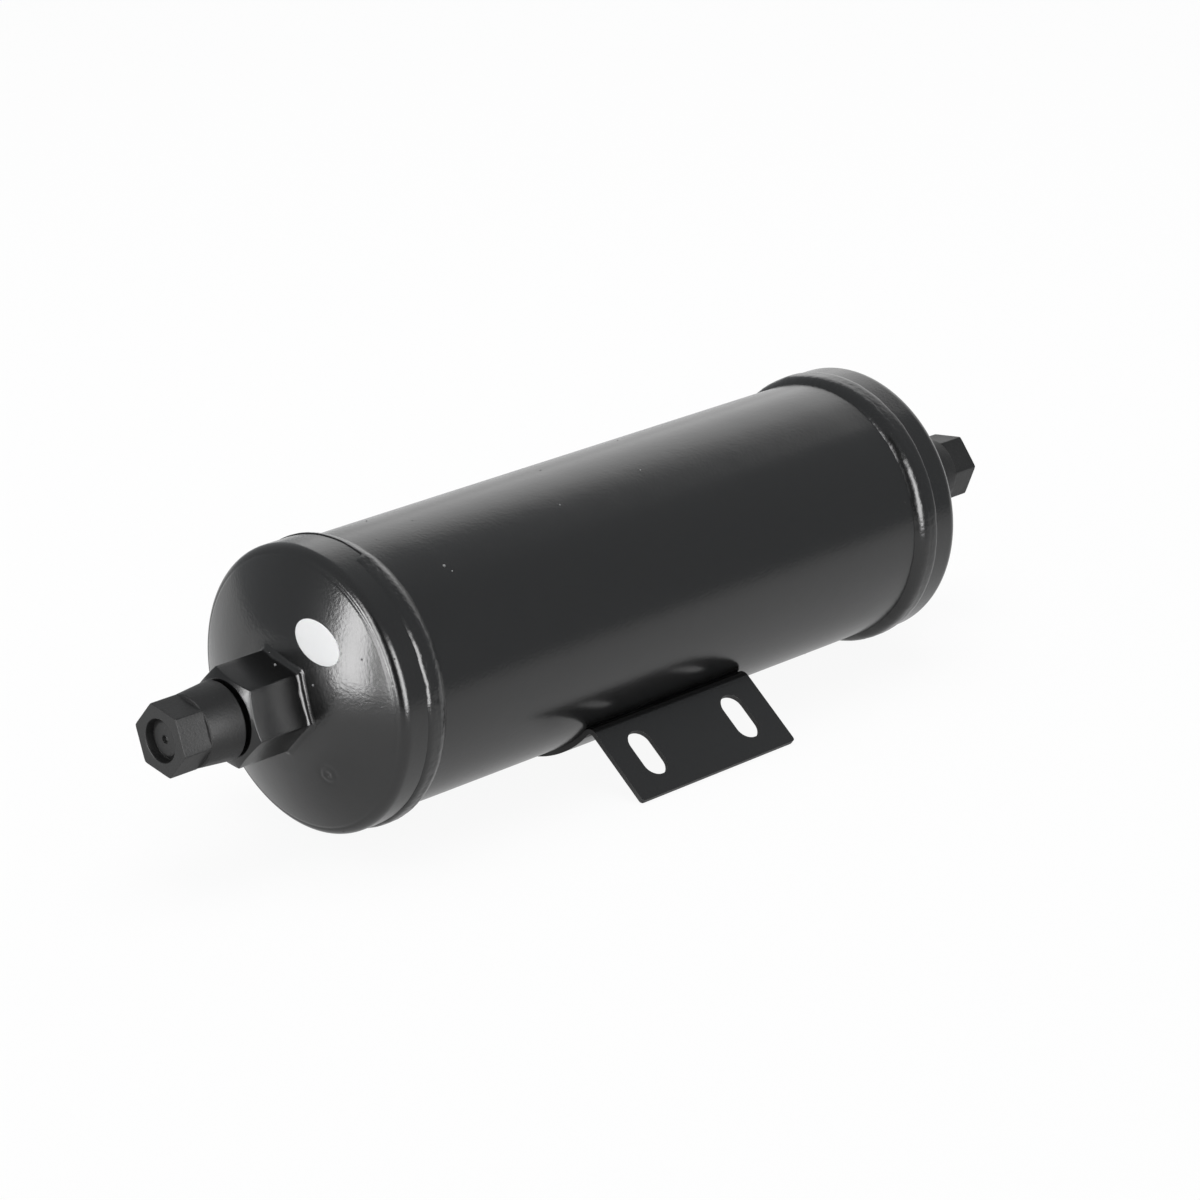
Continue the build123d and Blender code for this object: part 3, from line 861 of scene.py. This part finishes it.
portFitting = {
    "acrossFlats": 24.0 * mm,
    "cornerRound": 0.45 * mm,
    "chamferCircle": 11.0 * mm,
    "chamferAngle": 24.0,
    "edge": 0.22 * mm,
    "rootRound": 0.1 * mm,  # where the hexagon stands on the crown
    "spigot": 9.0 * mm,
    "relief": 6.7 * mm,
    "reliefLength": 2.0 * mm,
    "reliefRound": 0.15 * mm,
    "thread": 7.9 * mm,
    "threadLength": 9.5 * mm,
    "threadChamfer": 1.0 * mm,
    "nose": 5.7 * mm,
    "noseLength": 5.6 * mm,
    "noseChamfer": 0.6 * mm,
    "noseRound": 0.1 * mm,
    "groove": 4.4 * mm,
    "grooveStart": 1.3 * mm,
    "grooveWidth": 2.3 * mm,
    "grooveRound": 0.12 * mm,
    "bore": 3.5 * mm,
    "boreRound": 0.15 * mm,
}
shoulder = float(crownReach(endCap["hole"]))
portTip = portFitting["reliefLength"] + portFitting["threadLength"] + portFitting["noseLength"]


def makeFitting(end):
    f = portFitting
    low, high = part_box(f"{end}_fitting")
    outside, inside = (low.x, high.x) if end == "inlet" else (high.x, low.x)
    tip = abs(outside - seamX[end])
    innerFace = abs(inside - seamX[end])
    face = tip - portTip
    corner = farthestAngle(f"{end}_fitting", 0)
    angles, hexRadius = hexOutline(f["acrossFlats"], f["cornerRound"], corner)
    threadStart = face + f["reliefLength"]
    threadStop = threadStart + f["threadLength"]
    grooveStart = threadStop + f["grooveStart"]
    grooveStop = grooveStart + f["grooveWidth"]
    bevel = chamfered(face, hexRadius, f["chamferCircle"], f["chamferAngle"])
    # how far out, radius, and how much of the corner is rounded off
    lower = [
        (innerFace, f["bore"], 0),
        (innerFace, f["spigot"], f["edge"]),
        (shoulder, f["spigot"], 0),
        (shoulder, hexRadius, f["rootRound"]),
        (bevel, hexRadius, f["edge"]),
        (face, f["chamferCircle"], f["edge"]),
        (face, f["relief"], f["reliefRound"]),
        (threadStart, f["relief"], 0),
    ]
    upper = [
        (threadStop, f["thread"] - f["threadChamfer"], 0),
        (threadStop, f["nose"], 0),
        (grooveStart, f["nose"], f["grooveRound"]),
        (grooveStart, f["groove"], 0),
        (grooveStop, f["groove"], 0),
        (grooveStop, f["nose"], f["grooveRound"]),
        (tip - f["noseChamfer"], f["nose"], f["noseRound"]),
        (tip, f["nose"] - f["noseChamfer"], f["noseRound"]),
        (tip, f["bore"], f["boreRound"]),
        (innerFace, f["bore"], 0),
    ]

    def limits(reach):
        rising = f["relief"] + (reach - threadStart)
        falling = f["thread"] - f["threadChamfer"] + (threadStop - reach)
        return np.minimum(rising, falling)

    grids = []
    for stations in (lower, upper):
        rows = [ring(x, r, angles) for x, r, _ in stations]
        cuts = [cut for _, _, cut in stations]
        grids.append((atEnd(end, np.stack(softened(rows, cuts))), False, True))
    band = threadBand(threadStart, threadStop, f["thread"], angles, limits, outwards[end])
    grids.append((atEnd(end, band), False, False))
    fitting = pieceFromGrids(f"{end}_port", grids)
    return finishPiece(fitting, paintedSteel, "black_fitting_paint", "canister", f"{end}_fitting")


brazeFillet = {
    "leg": 1.4 * mm,
    "rows": 9,
    "steps": (8, 12),  # round each corner and along each flat
    "unevenness": 0.3,
    "waves": ((5, 1), (11, 2), (17, 0)),  # waves in a turn, times the end's phase
    "phase": {"inlet": 1.0, "outlet": 4.0},
    "bedded": 0.06 * mm,
    "sunk": 0.25 * mm,
}


def makeBraze(end):
    # a concave fillet round the hexagon's root, uneven as brazing is, that meets the crown
    b = brazeFillet
    corner = farthestAngle(f"{end}_fitting", 0)

    def outline(out, rounding):
        acrossFlats = portFitting["acrossFlats"] + 2 * out
        return hexOutline(acrossFlats, portFitting["cornerRound"] + rounding, corner, *b["steps"])

    rows = []
    for share in np.linspace(0, 1, b["rows"]):
        out = b["leg"] * (1 - math.sin(share * math.pi / 2))
        angles, radius = outline(out, out)
        waves = [np.sin(count * angles + turns * b["phase"][end]) for count, turns in b["waves"]]
        leg = b["leg"] * (1 + b["unevenness"] * sum(waves) / len(waves))
        height = leg * (1 - math.cos(share * math.pi / 2)) - b["bedded"]
        rows.append(ring(crownReach(radius) + height, radius, angles))
    under, root = outline(-b["sunk"], 0)
    rows.append(ring(rows[-1][:, 0], root, under))
    rows.append(ring(crownReach(root) - b["sunk"], root, under))
    rows.append(rows[0] - np.array([b["sunk"], 0, 0]))
    braze = pieceFromGrids(f"{end}_braze", [(atEnd(end, np.stack(rows)), True, True)])
    return finishPiece(braze, glossBlack, "black_gloss_paint", "canister", f"{end}_braze_ring")


portCap = {
    "gap": 1.4 * mm,
    "mouth": 10.9 * mm,
    "mouthRounds": (0.25 * mm, 0.4 * mm),  # inside and outside
    "neck": 9.9 * mm,
    "neckRound": 0.5 * mm,
    "skirtLength": 10.9 * mm,
    "headAcrossFlats": 17.5 * mm,
    "headRound": 0.4 * mm,
    "headCircle": 9.8 * mm,
    "headAngle": 30.0,
    "headRim": 0.2 * mm,  # the top face ends at least this far inside the flats
    "headFootRound": 0.15 * mm,
    "bevelRound": 0.25 * mm,
    "rimRound": 0.3 * mm,
    "pastNeck": 3 * mm,  # from here on there is only the head
    "recess": 5.9 * mm,
    "recessDepth": 1.7 * mm,
    "recessDraft": 0.15 * mm,
    "recessGroove": 2.7 * mm,  # deeper round its edge
    "grooveWidth": 1.4 * mm,
    "grooveRounds": (0.2 * mm, 0.4 * mm),  # at its floor and at its inner brink
    "gate": 0.9 * mm,  # the pit in the recess's middle, with a raised lip
    "gateDepth": 0.9 * mm,
    "gateDraft": 0.2 * mm,
    "gateRound": 0.1 * mm,
    "lipHeight": 0.22 * mm,
    "lipFoot": 0.35 * mm,  # how far past the pit the lip starts, and where its top lies
    "lipTop": 0.12 * mm,
    "bore": 8.2 * mm,
    "noseBore": 6.48 * mm,
    "boreEndRound": 0.2 * mm,
    "stepRound": 0.15 * mm,
    "clearance": 0.3 * mm,
    "seamWidth": 0.03,  # the two mould seams down the skirt, in radians
    "seamShift": 0.02,
    "seamHeight": 0.12 * mm,
    "seamInset": (0.3 * mm, 0.2 * mm),  # from the mouth and from the head
    "seamFloor": 0.5 * mm,  # outside the bore by this much
}


def makePortCap(end):
    c = portCap
    low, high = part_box(f"{end}_port_cap")
    mouthX, topX = (high.x, low.x) if end == "inlet" else (low.x, high.x)
    mouth, top = abs(mouthX - seamX[end]), abs(topX - seamX[end])
    neck = mouth + c["skirtLength"]
    stemFace = mouth - c["gap"]
    step = stemFace + portFitting["reliefLength"] + portFitting["threadLength"] + c["clearance"]
    boreEnd = stemFace + portTip + c["clearance"]
    headStart = seamX[end] + outwards[end] * (neck + c["pastNeck"])
    corner = farthestAngle(f"{end}_port_cap", abs(headStart))
    angles, hexRadius = hexOutline(c["headAcrossFlats"], c["headRound"], corner)
    bevel = chamfered(top, hexRadius, c["headCircle"], c["headAngle"])
    recessFloor = top - c["recessDepth"]
    mouthInside, mouthOutside = c["mouthRounds"]
    grooveFloor, grooveBrink = c["grooveRounds"]
    # how far out, radius, and how much of the corner is rounded off
    stations = [
        (mouth, c["bore"], mouthInside),
        (mouth, c["mouth"], mouthOutside),
        (neck, c["neck"], c["neckRound"]),
        (neck, hexRadius, c["headFootRound"]),
        (bevel, hexRadius, c["bevelRound"]),
        (top, np.minimum(c["headCircle"], hexRadius - c["headRim"]), c["rimRound"]),
        (top, c["recess"], c["rimRound"]),
        (top - c["recessGroove"], c["recess"] - c["recessDraft"], grooveFloor),
        (recessFloor, c["recess"] - c["grooveWidth"], grooveBrink),
        (recessFloor, c["gate"] + c["lipFoot"], 0),
        (recessFloor + c["lipHeight"], c["gate"] + c["lipTop"], c["gateRound"]),
        (recessFloor - c["gateDepth"], c["gate"] - c["gateDraft"], c["gateRound"]),
        (recessFloor - c["gateDepth"], 0, 0),
        (boreEnd, 0, 0),
        (boreEnd, c["noseBore"], c["boreEndRound"]),
        (step, c["noseBore"], c["stepRound"]),
        (step, c["bore"], 0),
    ]
    rows = [ring(x, r, angles) for x, r, _ in stations]
    points = np.stack(softened(rows, [cut for _, _, cut in stations]))
    radius = np.hypot(points[..., 1], points[..., 2])
    past = np.mod(angles - corner - math.pi / 6 + c["seamShift"], math.pi) - c["seamShift"]
    ridge = c["seamHeight"] * np.exp(-((past / c["seamWidth"]) ** 2))
    fromMouth, fromHead = c["seamInset"]
    onSkirt = (points[..., 0] > mouth + fromMouth) & (points[..., 0] < neck - fromHead)
    outside = radius > c["bore"] + c["seamFloor"]
    points[..., 1:] *= (1 + onSkirt * outside * ridge / np.maximum(radius, mm))[..., None]
    cap = pieceFromGrids(f"{end}_screw_cap", [(atEnd(end, points), True, True)])
    return finishPiece(cap, blackPlastic, "black_cap_plastic", f"{end}_cap", f"{end}_port_cap")


for makePiece in (makeFitting, makeBraze, makePortCap):
    for end in outwards:
        makePiece(end)
print("ports and caps made")


# Bracket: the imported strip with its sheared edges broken

bracket = {
    "edge": 0.13 * mm,
    "segments": 2,
    "bevelAngle": 40,
    "flange": 22 * mm,  # how far the flange is flat, from its free edge
    "cutFacing": 0.5,  # a cut wall faces along X by more than this
    "flatFacing": 0.6,  # and as the flange's face by less than this
}


def markSheared(mesh):
    # 1 on the cut walls of the strip, which stand across its width or across the flange
    frontmost = min(face.center.y for face in mesh.polygons)
    flange = [face for face in mesh.polygons if face.center.y < frontmost + bracket["flange"]]
    facing = max(flange, key=lambda face: face.area).normal.copy()
    cut = {face.index for face in mesh.polygons if abs(face.normal.x) > bracket["cutFacing"]}
    cut |= {face.index for face in flange if abs(face.normal.dot(facing)) < bracket["flatFacing"]}
    sheared = mesh.attributes.new("sheared", "FLOAT", "FACE")
    sheared.data.foreach_set("value", [float(index in cut) for index in range(len(mesh.polygons))])


def makeBracket():
    mesh = frame["nodes"]["mounting_bracket"].data.copy()
    mesh.name = "slotted_bracket"
    cleanMesh(mesh, bracket["bevelAngle"])
    piece = placePiece("slotted_bracket", mesh)
    edges = piece.modifiers.new("edges", "BEVEL")
    edges.width = bracket["edge"]
    edges.segments = bracket["segments"]
    edges.limit_method = "ANGLE"
    edges.angle_limit = math.radians(bracket["bevelAngle"])
    edges.harden_normals = False
    shading = piece.modifiers.new("shading", "WEIGHTED_NORMAL")
    shading.keep_sharp = True
    finishPiece(applyModifiers(piece), glossBlack, "black_gloss_paint", "canister", "mounting_bracket")
    markSheared(piece.data)


makeBracket()


# Oval sticker, laid on the inlet crown

sticker = {
    "length": 16.0 * mm,
    "width": 9.9 * mm,
    "thickness": 0.15 * mm,
    "fromAxis": 23.5 * mm,
    "azimuth": 125.7,
    "turn": 12.0,
    "flatTo": 0.97,  # its edge rounds off past this share of its size
    "edgeRows": (0.99, 1.0),
    "edgeShare": 0.3,
    "sunk": 0.05 * mm,
    "rows": 18,
    "columns": 120,
}


def makeSticker():
    s = sticker
    azimuth = math.radians(s["azimuth"])
    lift = math.asin(s["fromAxis"] / endCap["crown"])
    radial = Vector((0, math.cos(azimuth), math.sin(azimuth)))
    along = Vector((0, -math.sin(azimuth), math.cos(azimuth)))
    normal = Vector((-1, 0, 0)) * math.cos(lift) + radial * math.sin(lift)
    across = normal.cross(along)
    centre = Vector((seamX["inlet"] - crownCentre, axisY, axisZ))
    turn = math.radians(s["turn"])
    rows = []
    shares = [*np.linspace(0, s["flatTo"], s["rows"]), *s["edgeRows"]]
    for face in ("top", "back"):
        for share in shares if face == "top" else shares[::-1]:
            edge = math.sqrt(max(1 - max((share - s["flatTo"]) / (1 - s["flatTo"]), 0) ** 2, 0))
            lifted = s["thickness"] * (s["edgeShare"] + (1 - s["edgeShare"]) * edge)
            sphere = endCap["crown"] + (lifted if face == "top" else -s["sunk"])
            row = []
            for angle in evenAngles(s["columns"]):
                u = share * s["length"] / 2 * math.cos(angle)
                v = share * s["width"] / 2 * math.sin(angle)
                flat = along * (u * math.cos(turn) - v * math.sin(turn))
                flat += across * (u * math.sin(turn) + v * math.cos(turn))
                row.append(centre + flat + normal * math.sqrt(sphere**2 - flat.length_squared))
            rows.append(row)
    oval = pieceFromGrids("oval_label", [(np.array(rows, float), True, True)])
    finishPiece(oval, paper, "sticker_paper", "canister", "oval_sticker")


makeSticker()
print("bracket and sticker made")


# Paint nibs: dust caught in the paint, scattered by a geometry tree

paintNibs = {
    "Density": 1500.0,
    "Largest": 0.32 * mm,
    "Smallest Share": 0.25,
    "Flatness": 0.5,
    "Off Middle": 5 * mm,  # keeps them off the inner walls
    "Seed": 5,
}
tubeNibShare = 0.35  # the tube has fewer to the area than the caps


def nibTree():
    kinds = {label: "NodeSocketFloat" for label in paintNibs}
    kinds.update({"Seed": "NodeSocketInt", "Middle": "NodeSocketVector"})
    tree, given = startGeometry("paintNibs", kinds)
    place = tree.add("GeometryNodeInputPosition")
    normal = tree.add("GeometryNodeInputNormal")
    away = tree.add("ShaderNodeVectorMath", {"operation": "SUBTRACT"}, {0: place, 1: given["Middle"]})
    facing = tree.add("ShaderNodeVectorMath", {"operation": "DOT_PRODUCT"}, {0: normal, 1: away}, "Value")
    sides = {0: facing, 1: given["Off Middle"]}
    outer = tree.add("FunctionNodeCompare", {"operation": "GREATER_THAN"}, sides)
    scatter = tree.nodeTree.nodes.new("GeometryNodeDistributePointsOnFaces")
    sockets = {"Mesh": given["Geometry"], "Selection": outer, "Density": given["Density"]}
    for name, wire in {**sockets, "Seed": given["Seed"]}.items():
        tree.nodeTree.links.new(wire.socket, scatter.inputs[name])
    nib = tree.add("GeometryNodeMeshIcoSphere", None, {"Radius": given["Largest"], "Subdivisions": 2})
    limits = {2: given["Smallest Share"], 3: 1.0, "Seed": given["Seed"]}
    size = tree.add("FunctionNodeRandomValue", {"data_type": "FLOAT"}, limits, 1)
    flatter = tree.add("ShaderNodeCombineXYZ", None, {"X": size, "Y": size, "Z": size * given["Flatness"]})
    placed = tree.add("GeometryNodeInstanceOnPoints", None, {
        "Points": Wire(tree, scatter.outputs["Points"]), "Instance": nib,
        "Rotation": Wire(tree, scatter.outputs["Rotation"]), "Scale": flatter,
    })
    return endGeometry(tree, placed, glossBlack)


def makeNibs():
    nodeTree = nibTree()
    hosts = {
        "inlet_nibs": (dishedCaps["inlet"], 1.0),
        "outlet_nibs": (dishedCaps["outlet"], 1.0),
        "tube_nibs": (canisterTube, tubeNibShare),
    }
    for index, (name, (host, share)) in enumerate(hosts.items()):
        values = {
            **paintNibs,
            "Density": paintNibs["Density"] * share,
            "Seed": paintNibs["Seed"] + index,
            "Middle": (0.0, axisY, axisZ),
        }
        nibs = runTree(name, host.data.copy(), nodeTree, values)
        nibs.data.shade_smooth()
        finishPiece(nibs, glossBlack, "black_gloss_paint", "canister")


dustSpecks = [
    # outwards from the near seam, across, up and size, in millimetres
    (-16.5, -20.9, 31.9, 0.42),
    (-17.7, -22.7, 30.6, 0.22),
    (-65.1, -14.7, 35.1, 0.24),
    (-98.9, -11.9, 36.2, 0.2),
    (24.8, 1.8, 12.8, 0.36),
    (27.5, -3.3, 11.6, 0.36),
    (24.0, -14.0, 7.9, 0.3),
]


def makeSpecks():
    shape = bmesh.new()
    for reach, across, up, size in dustSpecks:
        place = Matrix.Translation(atEnd("inlet", np.array([reach, across, up]) * mm))
        bmesh.ops.create_icosphere(shape, subdivisions=2, radius=size * mm, matrix=place)
    mesh = bpy.data.meshes.new("dust_specks")
    shape.to_mesh(mesh)
    shape.free()
    mesh.shade_smooth()
    mesh.materials.append(dust)
    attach(placePiece("dust_specks", mesh), "canister")


makeNibs()
makeSpecks()
print("paint nibs and dust scattered")


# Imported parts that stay, with their finishes

keptNodes = {
    "compression_spring": springSteel,
    "inlet_perforated_plate": plainSteel,
    "outlet_perforated_plate": plainSteel,
    "outlet_strainer": plainSteel,
    "inlet_filter_pad": felt,
    "outlet_filter_pad": felt,
    "desiccant_bed": beads,
    "inlet_o_ring": rubber,
    "outlet_o_ring": rubber,
}
for nodeName, material in keptNodes.items():
    node = frame["nodes"][nodeName]
    node.data.materials.clear()
    node.data.materials.append(material)
print("inner pieces finished")


# Studio: a white table and backdrop in a grey room, with soft lights that reach below the table

studio = {
    "tableFrom": (-0.37, -0.33),
    "tableTo": (1.6, 1.5),
    "tableColour": 0.78,
    "shadowShare": 0.07,  # how much of the lit table the camera sees; the rest is plain white
    "glossShare": 0.4,  # the same for the table's reflections in the paint
    "fadeFrom": -0.1,  # towards the front the table's reflection fades
    "fadeTo": -0.31,
    "fadeLevel": 0.45,
    "backdropRadius": 1.7,
    "backdropHeight": 1.7,
    "backdropTurn": (-5, 55, 24),  # from one angle to another in so many steps
    "roomRadius": 2.4,
    "roomFrom": -0.8,
    "roomTo": 2.6,
    "roomTurn": (0, 360, 48),
    "roomGlow": 0.42,
    "screenRadius": 1.35,  # the dark screen round the camera
    "screenHeight": 1.9,
    "screenTurn": (214, 244, 8),
    "screenGlow": 0.03,
    "worldShare": 0.5,  # how much of the white world lights matt surfaces
}


def stagePiece(name, points, faces, material):
    mesh = bpy.data.meshes.new(name)
    mesh.from_pydata(points, [], faces)
    mesh.materials.append(material)
    mesh.shade_smooth()
    piece = placePiece(name, mesh)
    return piece


def seenRays(tree):
    # 1 for rays from the camera and for what shows in gloss or glass
    total = 0
    for output in ("Is Camera Ray", "Is Glossy Ray", "Is Transmission Ray"):
        total = tree.add("ShaderNodeLightPath", output=output) + total
    return tree.add("ShaderNodeMath", {"operation": "MINIMUM"}, {0: total, 1: 1.0})


def whiteFinish(name, litShare, glossShare, fades):
    # white to the camera and in gloss, but for a lit share that keeps the shadow; fades is 0 or 1
    material, tree, place = startFinish(name)
    matt = tree.add("ShaderNodeBsdfDiffuse", None, {"Color": grey(studio["tableColour"])})
    camera = tree.add("ShaderNodeLightPath", output="Is Camera Ray")
    across = tree.add("ShaderNodeSeparateXYZ", None, {"Vector": place}, "Y")
    near = tree.between(across, studio["fadeTo"], studio["fadeFrom"])
    faded = fades * (1 - camera) * (1 - near) * (1 - studio["fadeLevel"])
    white = tree.add("ShaderNodeEmission", None, {"Color": grey(1.0), "Strength": 1 - faded})
    shown = seenRays(tree) * (1 - glossShare) + camera * (glossShare - litShare)
    mixed = tree.add("ShaderNodeMixShader", None, {0: shown, 1: matt, 2: white})
    tree.add("ShaderNodeOutputMaterial", None, {"Surface": mixed}, None)
    return material


def glowFinish(name, strength):
    material, tree = emptyMaterial(name)
    glow = tree.add("ShaderNodeEmission", None, {"Color": grey(1.0, -0.03), "Strength": strength})
    tree.add("ShaderNodeOutputMaterial", None, {"Surface": glow}, None)
    return material


def wallPoints(radius, low, high, start, stop, steps):
    # a curved upright wall from one angle to another
    turns = np.radians(np.linspace(start, stop, steps + 1))
    points = [(radius * math.cos(t), radius * math.sin(t), z) for t in turns for z in (low, high)]
    faces = [(2 * i, 2 * i + 2, 2 * i + 3, 2 * i + 1) for i in range(steps)]
    return points, faces


def makeStudio():
    (left, front), (right, rear) = studio["tableFrom"], studio["tableTo"]
    corners = [(left, front, 0), (right, front, 0), (right, rear, 0), (left, rear, 0)]
    whiteTable = whiteFinish("whiteTable", studio["shadowShare"], studio["glossShare"], 1.0)
    stagePiece("table", corners, [(0, 1, 2, 3)], whiteTable)
    backdrop = wallPoints(studio["backdropRadius"], 0.0, studio["backdropHeight"], *studio["backdropTurn"])
    behind = stagePiece("backdrop", *backdrop, whiteFinish("whiteBackdrop", 0.0, 0.0, 0.0))
    behind.visible_camera = False
    dull = glowFinish("greyRoom", studio["roomGlow"])
    points, faces = wallPoints(studio["roomRadius"], studio["roomFrom"], studio["roomTo"],
                               *studio["roomTurn"])
    room = stagePiece("room", points, faces, dull)
    lid = [point for point in points if point[2] == studio["roomTo"]]
    ground = [point for point in points if point[2] == studio["roomFrom"]]
    ceiling = stagePiece("ceiling", lid, [tuple(range(len(lid)))], dull)
    below = stagePiece("ground", ground, [tuple(range(len(ground)))], dull)
    shade = wallPoints(studio["screenRadius"], studio["roomFrom"], studio["screenHeight"],
                       *studio["screenTurn"])
    screen = stagePiece("screen", *shade, glowFinish("darkScreen", studio["screenGlow"]))
    for piece in (room, ceiling, below, screen):
        piece.visible_camera = False
    world = bpy.data.worlds.new("studio")
    world.use_nodes = True
    world.node_tree.nodes.clear()
    tree = Tree(world.node_tree)
    strength = studio["worldShare"] + (1 - studio["worldShare"]) * seenRays(tree)
    sky = tree.add("ShaderNodeBackground", None, {"Color": grey(1.0), "Strength": strength})
    tree.add("ShaderNodeOutputWorld", None, {"Surface": sky}, None)
    bpy.context.scene.world = world


softLights = {
    # centre, what it faces, width, height, radiance, what it reaches
    "leftBox": ((-0.989, 0.132, 0.13), (-0.155, -0.03, 0.13), 0.245, 0.66, 14.0, "gloss"),
    "leftFill": ((-0.989, 0.132, 0.13), (-0.155, -0.03, 0.13), 0.245, 0.66, 7.5, "matt"),
    "sideBox": ((-0.965, -0.255, 0.46), (-0.155, -0.03, 0.4), 0.36, 1.17, 5.0, "gloss"),
    "sideCore": ((-0.955, -0.25, 0.4), (-0.155, -0.03, 0.35), 0.22, 0.9, 5.0, "gloss"),
    "frontBox": ((-0.085, -0.62, 0.215), (-0.1, 0.0, 0.2), 0.44, 0.67, 4.2, "gloss"),
    "frontCore": ((-0.085, -0.61, 0.19), (-0.1, 0.0, 0.18), 0.24, 0.53, 7.0, "gloss"),
    "backBox": ((1.3, 0.9, 0.6), (0.0, 0.0, 0.04), 1.2, 1.1, 0.45, "gloss"),
    "topBox": ((0.1, 0.1, 1.5), (0.0, 0.0, 0.0), 1.3, 1.3, 3.6, "matt"),
}


def makeLight(name, centre, target, width, height, radiance, reaches):
    lamp = bpy.data.lights.new(name, "AREA")
    lamp.shape = "RECTANGLE"
    lamp.size = width
    lamp.size_y = height
    lamp.energy = radiance * math.pi * width * height
    holder = placePiece(name, lamp)
    facing = (Vector(target) - Vector(centre)).to_track_quat("-Z", "Y")
    holder.matrix_world = Matrix.Translation(centre) @ facing.to_matrix().to_4x4()
    holder.visible_camera = False
    holder.visible_diffuse = reaches != "gloss"
    holder.visible_glossy = reaches != "matt"


photoCamera = {
    "fromSeam": (-0.69707, -0.79605, 0.41477),  # from the tube's axis at the near weld
    "forward": (0.66078, 0.66426, -0.34946),
    "right": (0.70747, -0.70672, -0.00563),
    "up": (0.25071, 0.24351, 0.93694),
    "lens": 128.36,
    "sensor": 36.0,
}


def makeCamera():
    lens = bpy.data.cameras.new("photoCamera")
    lens.lens = photoCamera["lens"]
    lens.sensor_width = photoCamera["sensor"]
    holder = placePiece("photoCamera", lens)
    right, up, forward = (Vector(photoCamera[way]).normalized() for way in ("right", "up", "forward"))
    turn = Matrix((right, up, -forward)).transposed().to_4x4()
    seam = Vector((seamX["inlet"], axisY, axisZ))
    holder.matrix_world = Matrix.Translation(seam + Vector(photoCamera["fromSeam"])) @ turn
    bpy.context.scene.camera = holder


makeStudio()
for lightName, values in softLights.items():
    makeLight(lightName, *values)
makeCamera()
bpy.context.scene.view_settings.view_transform = "Standard"
print("studio ready")
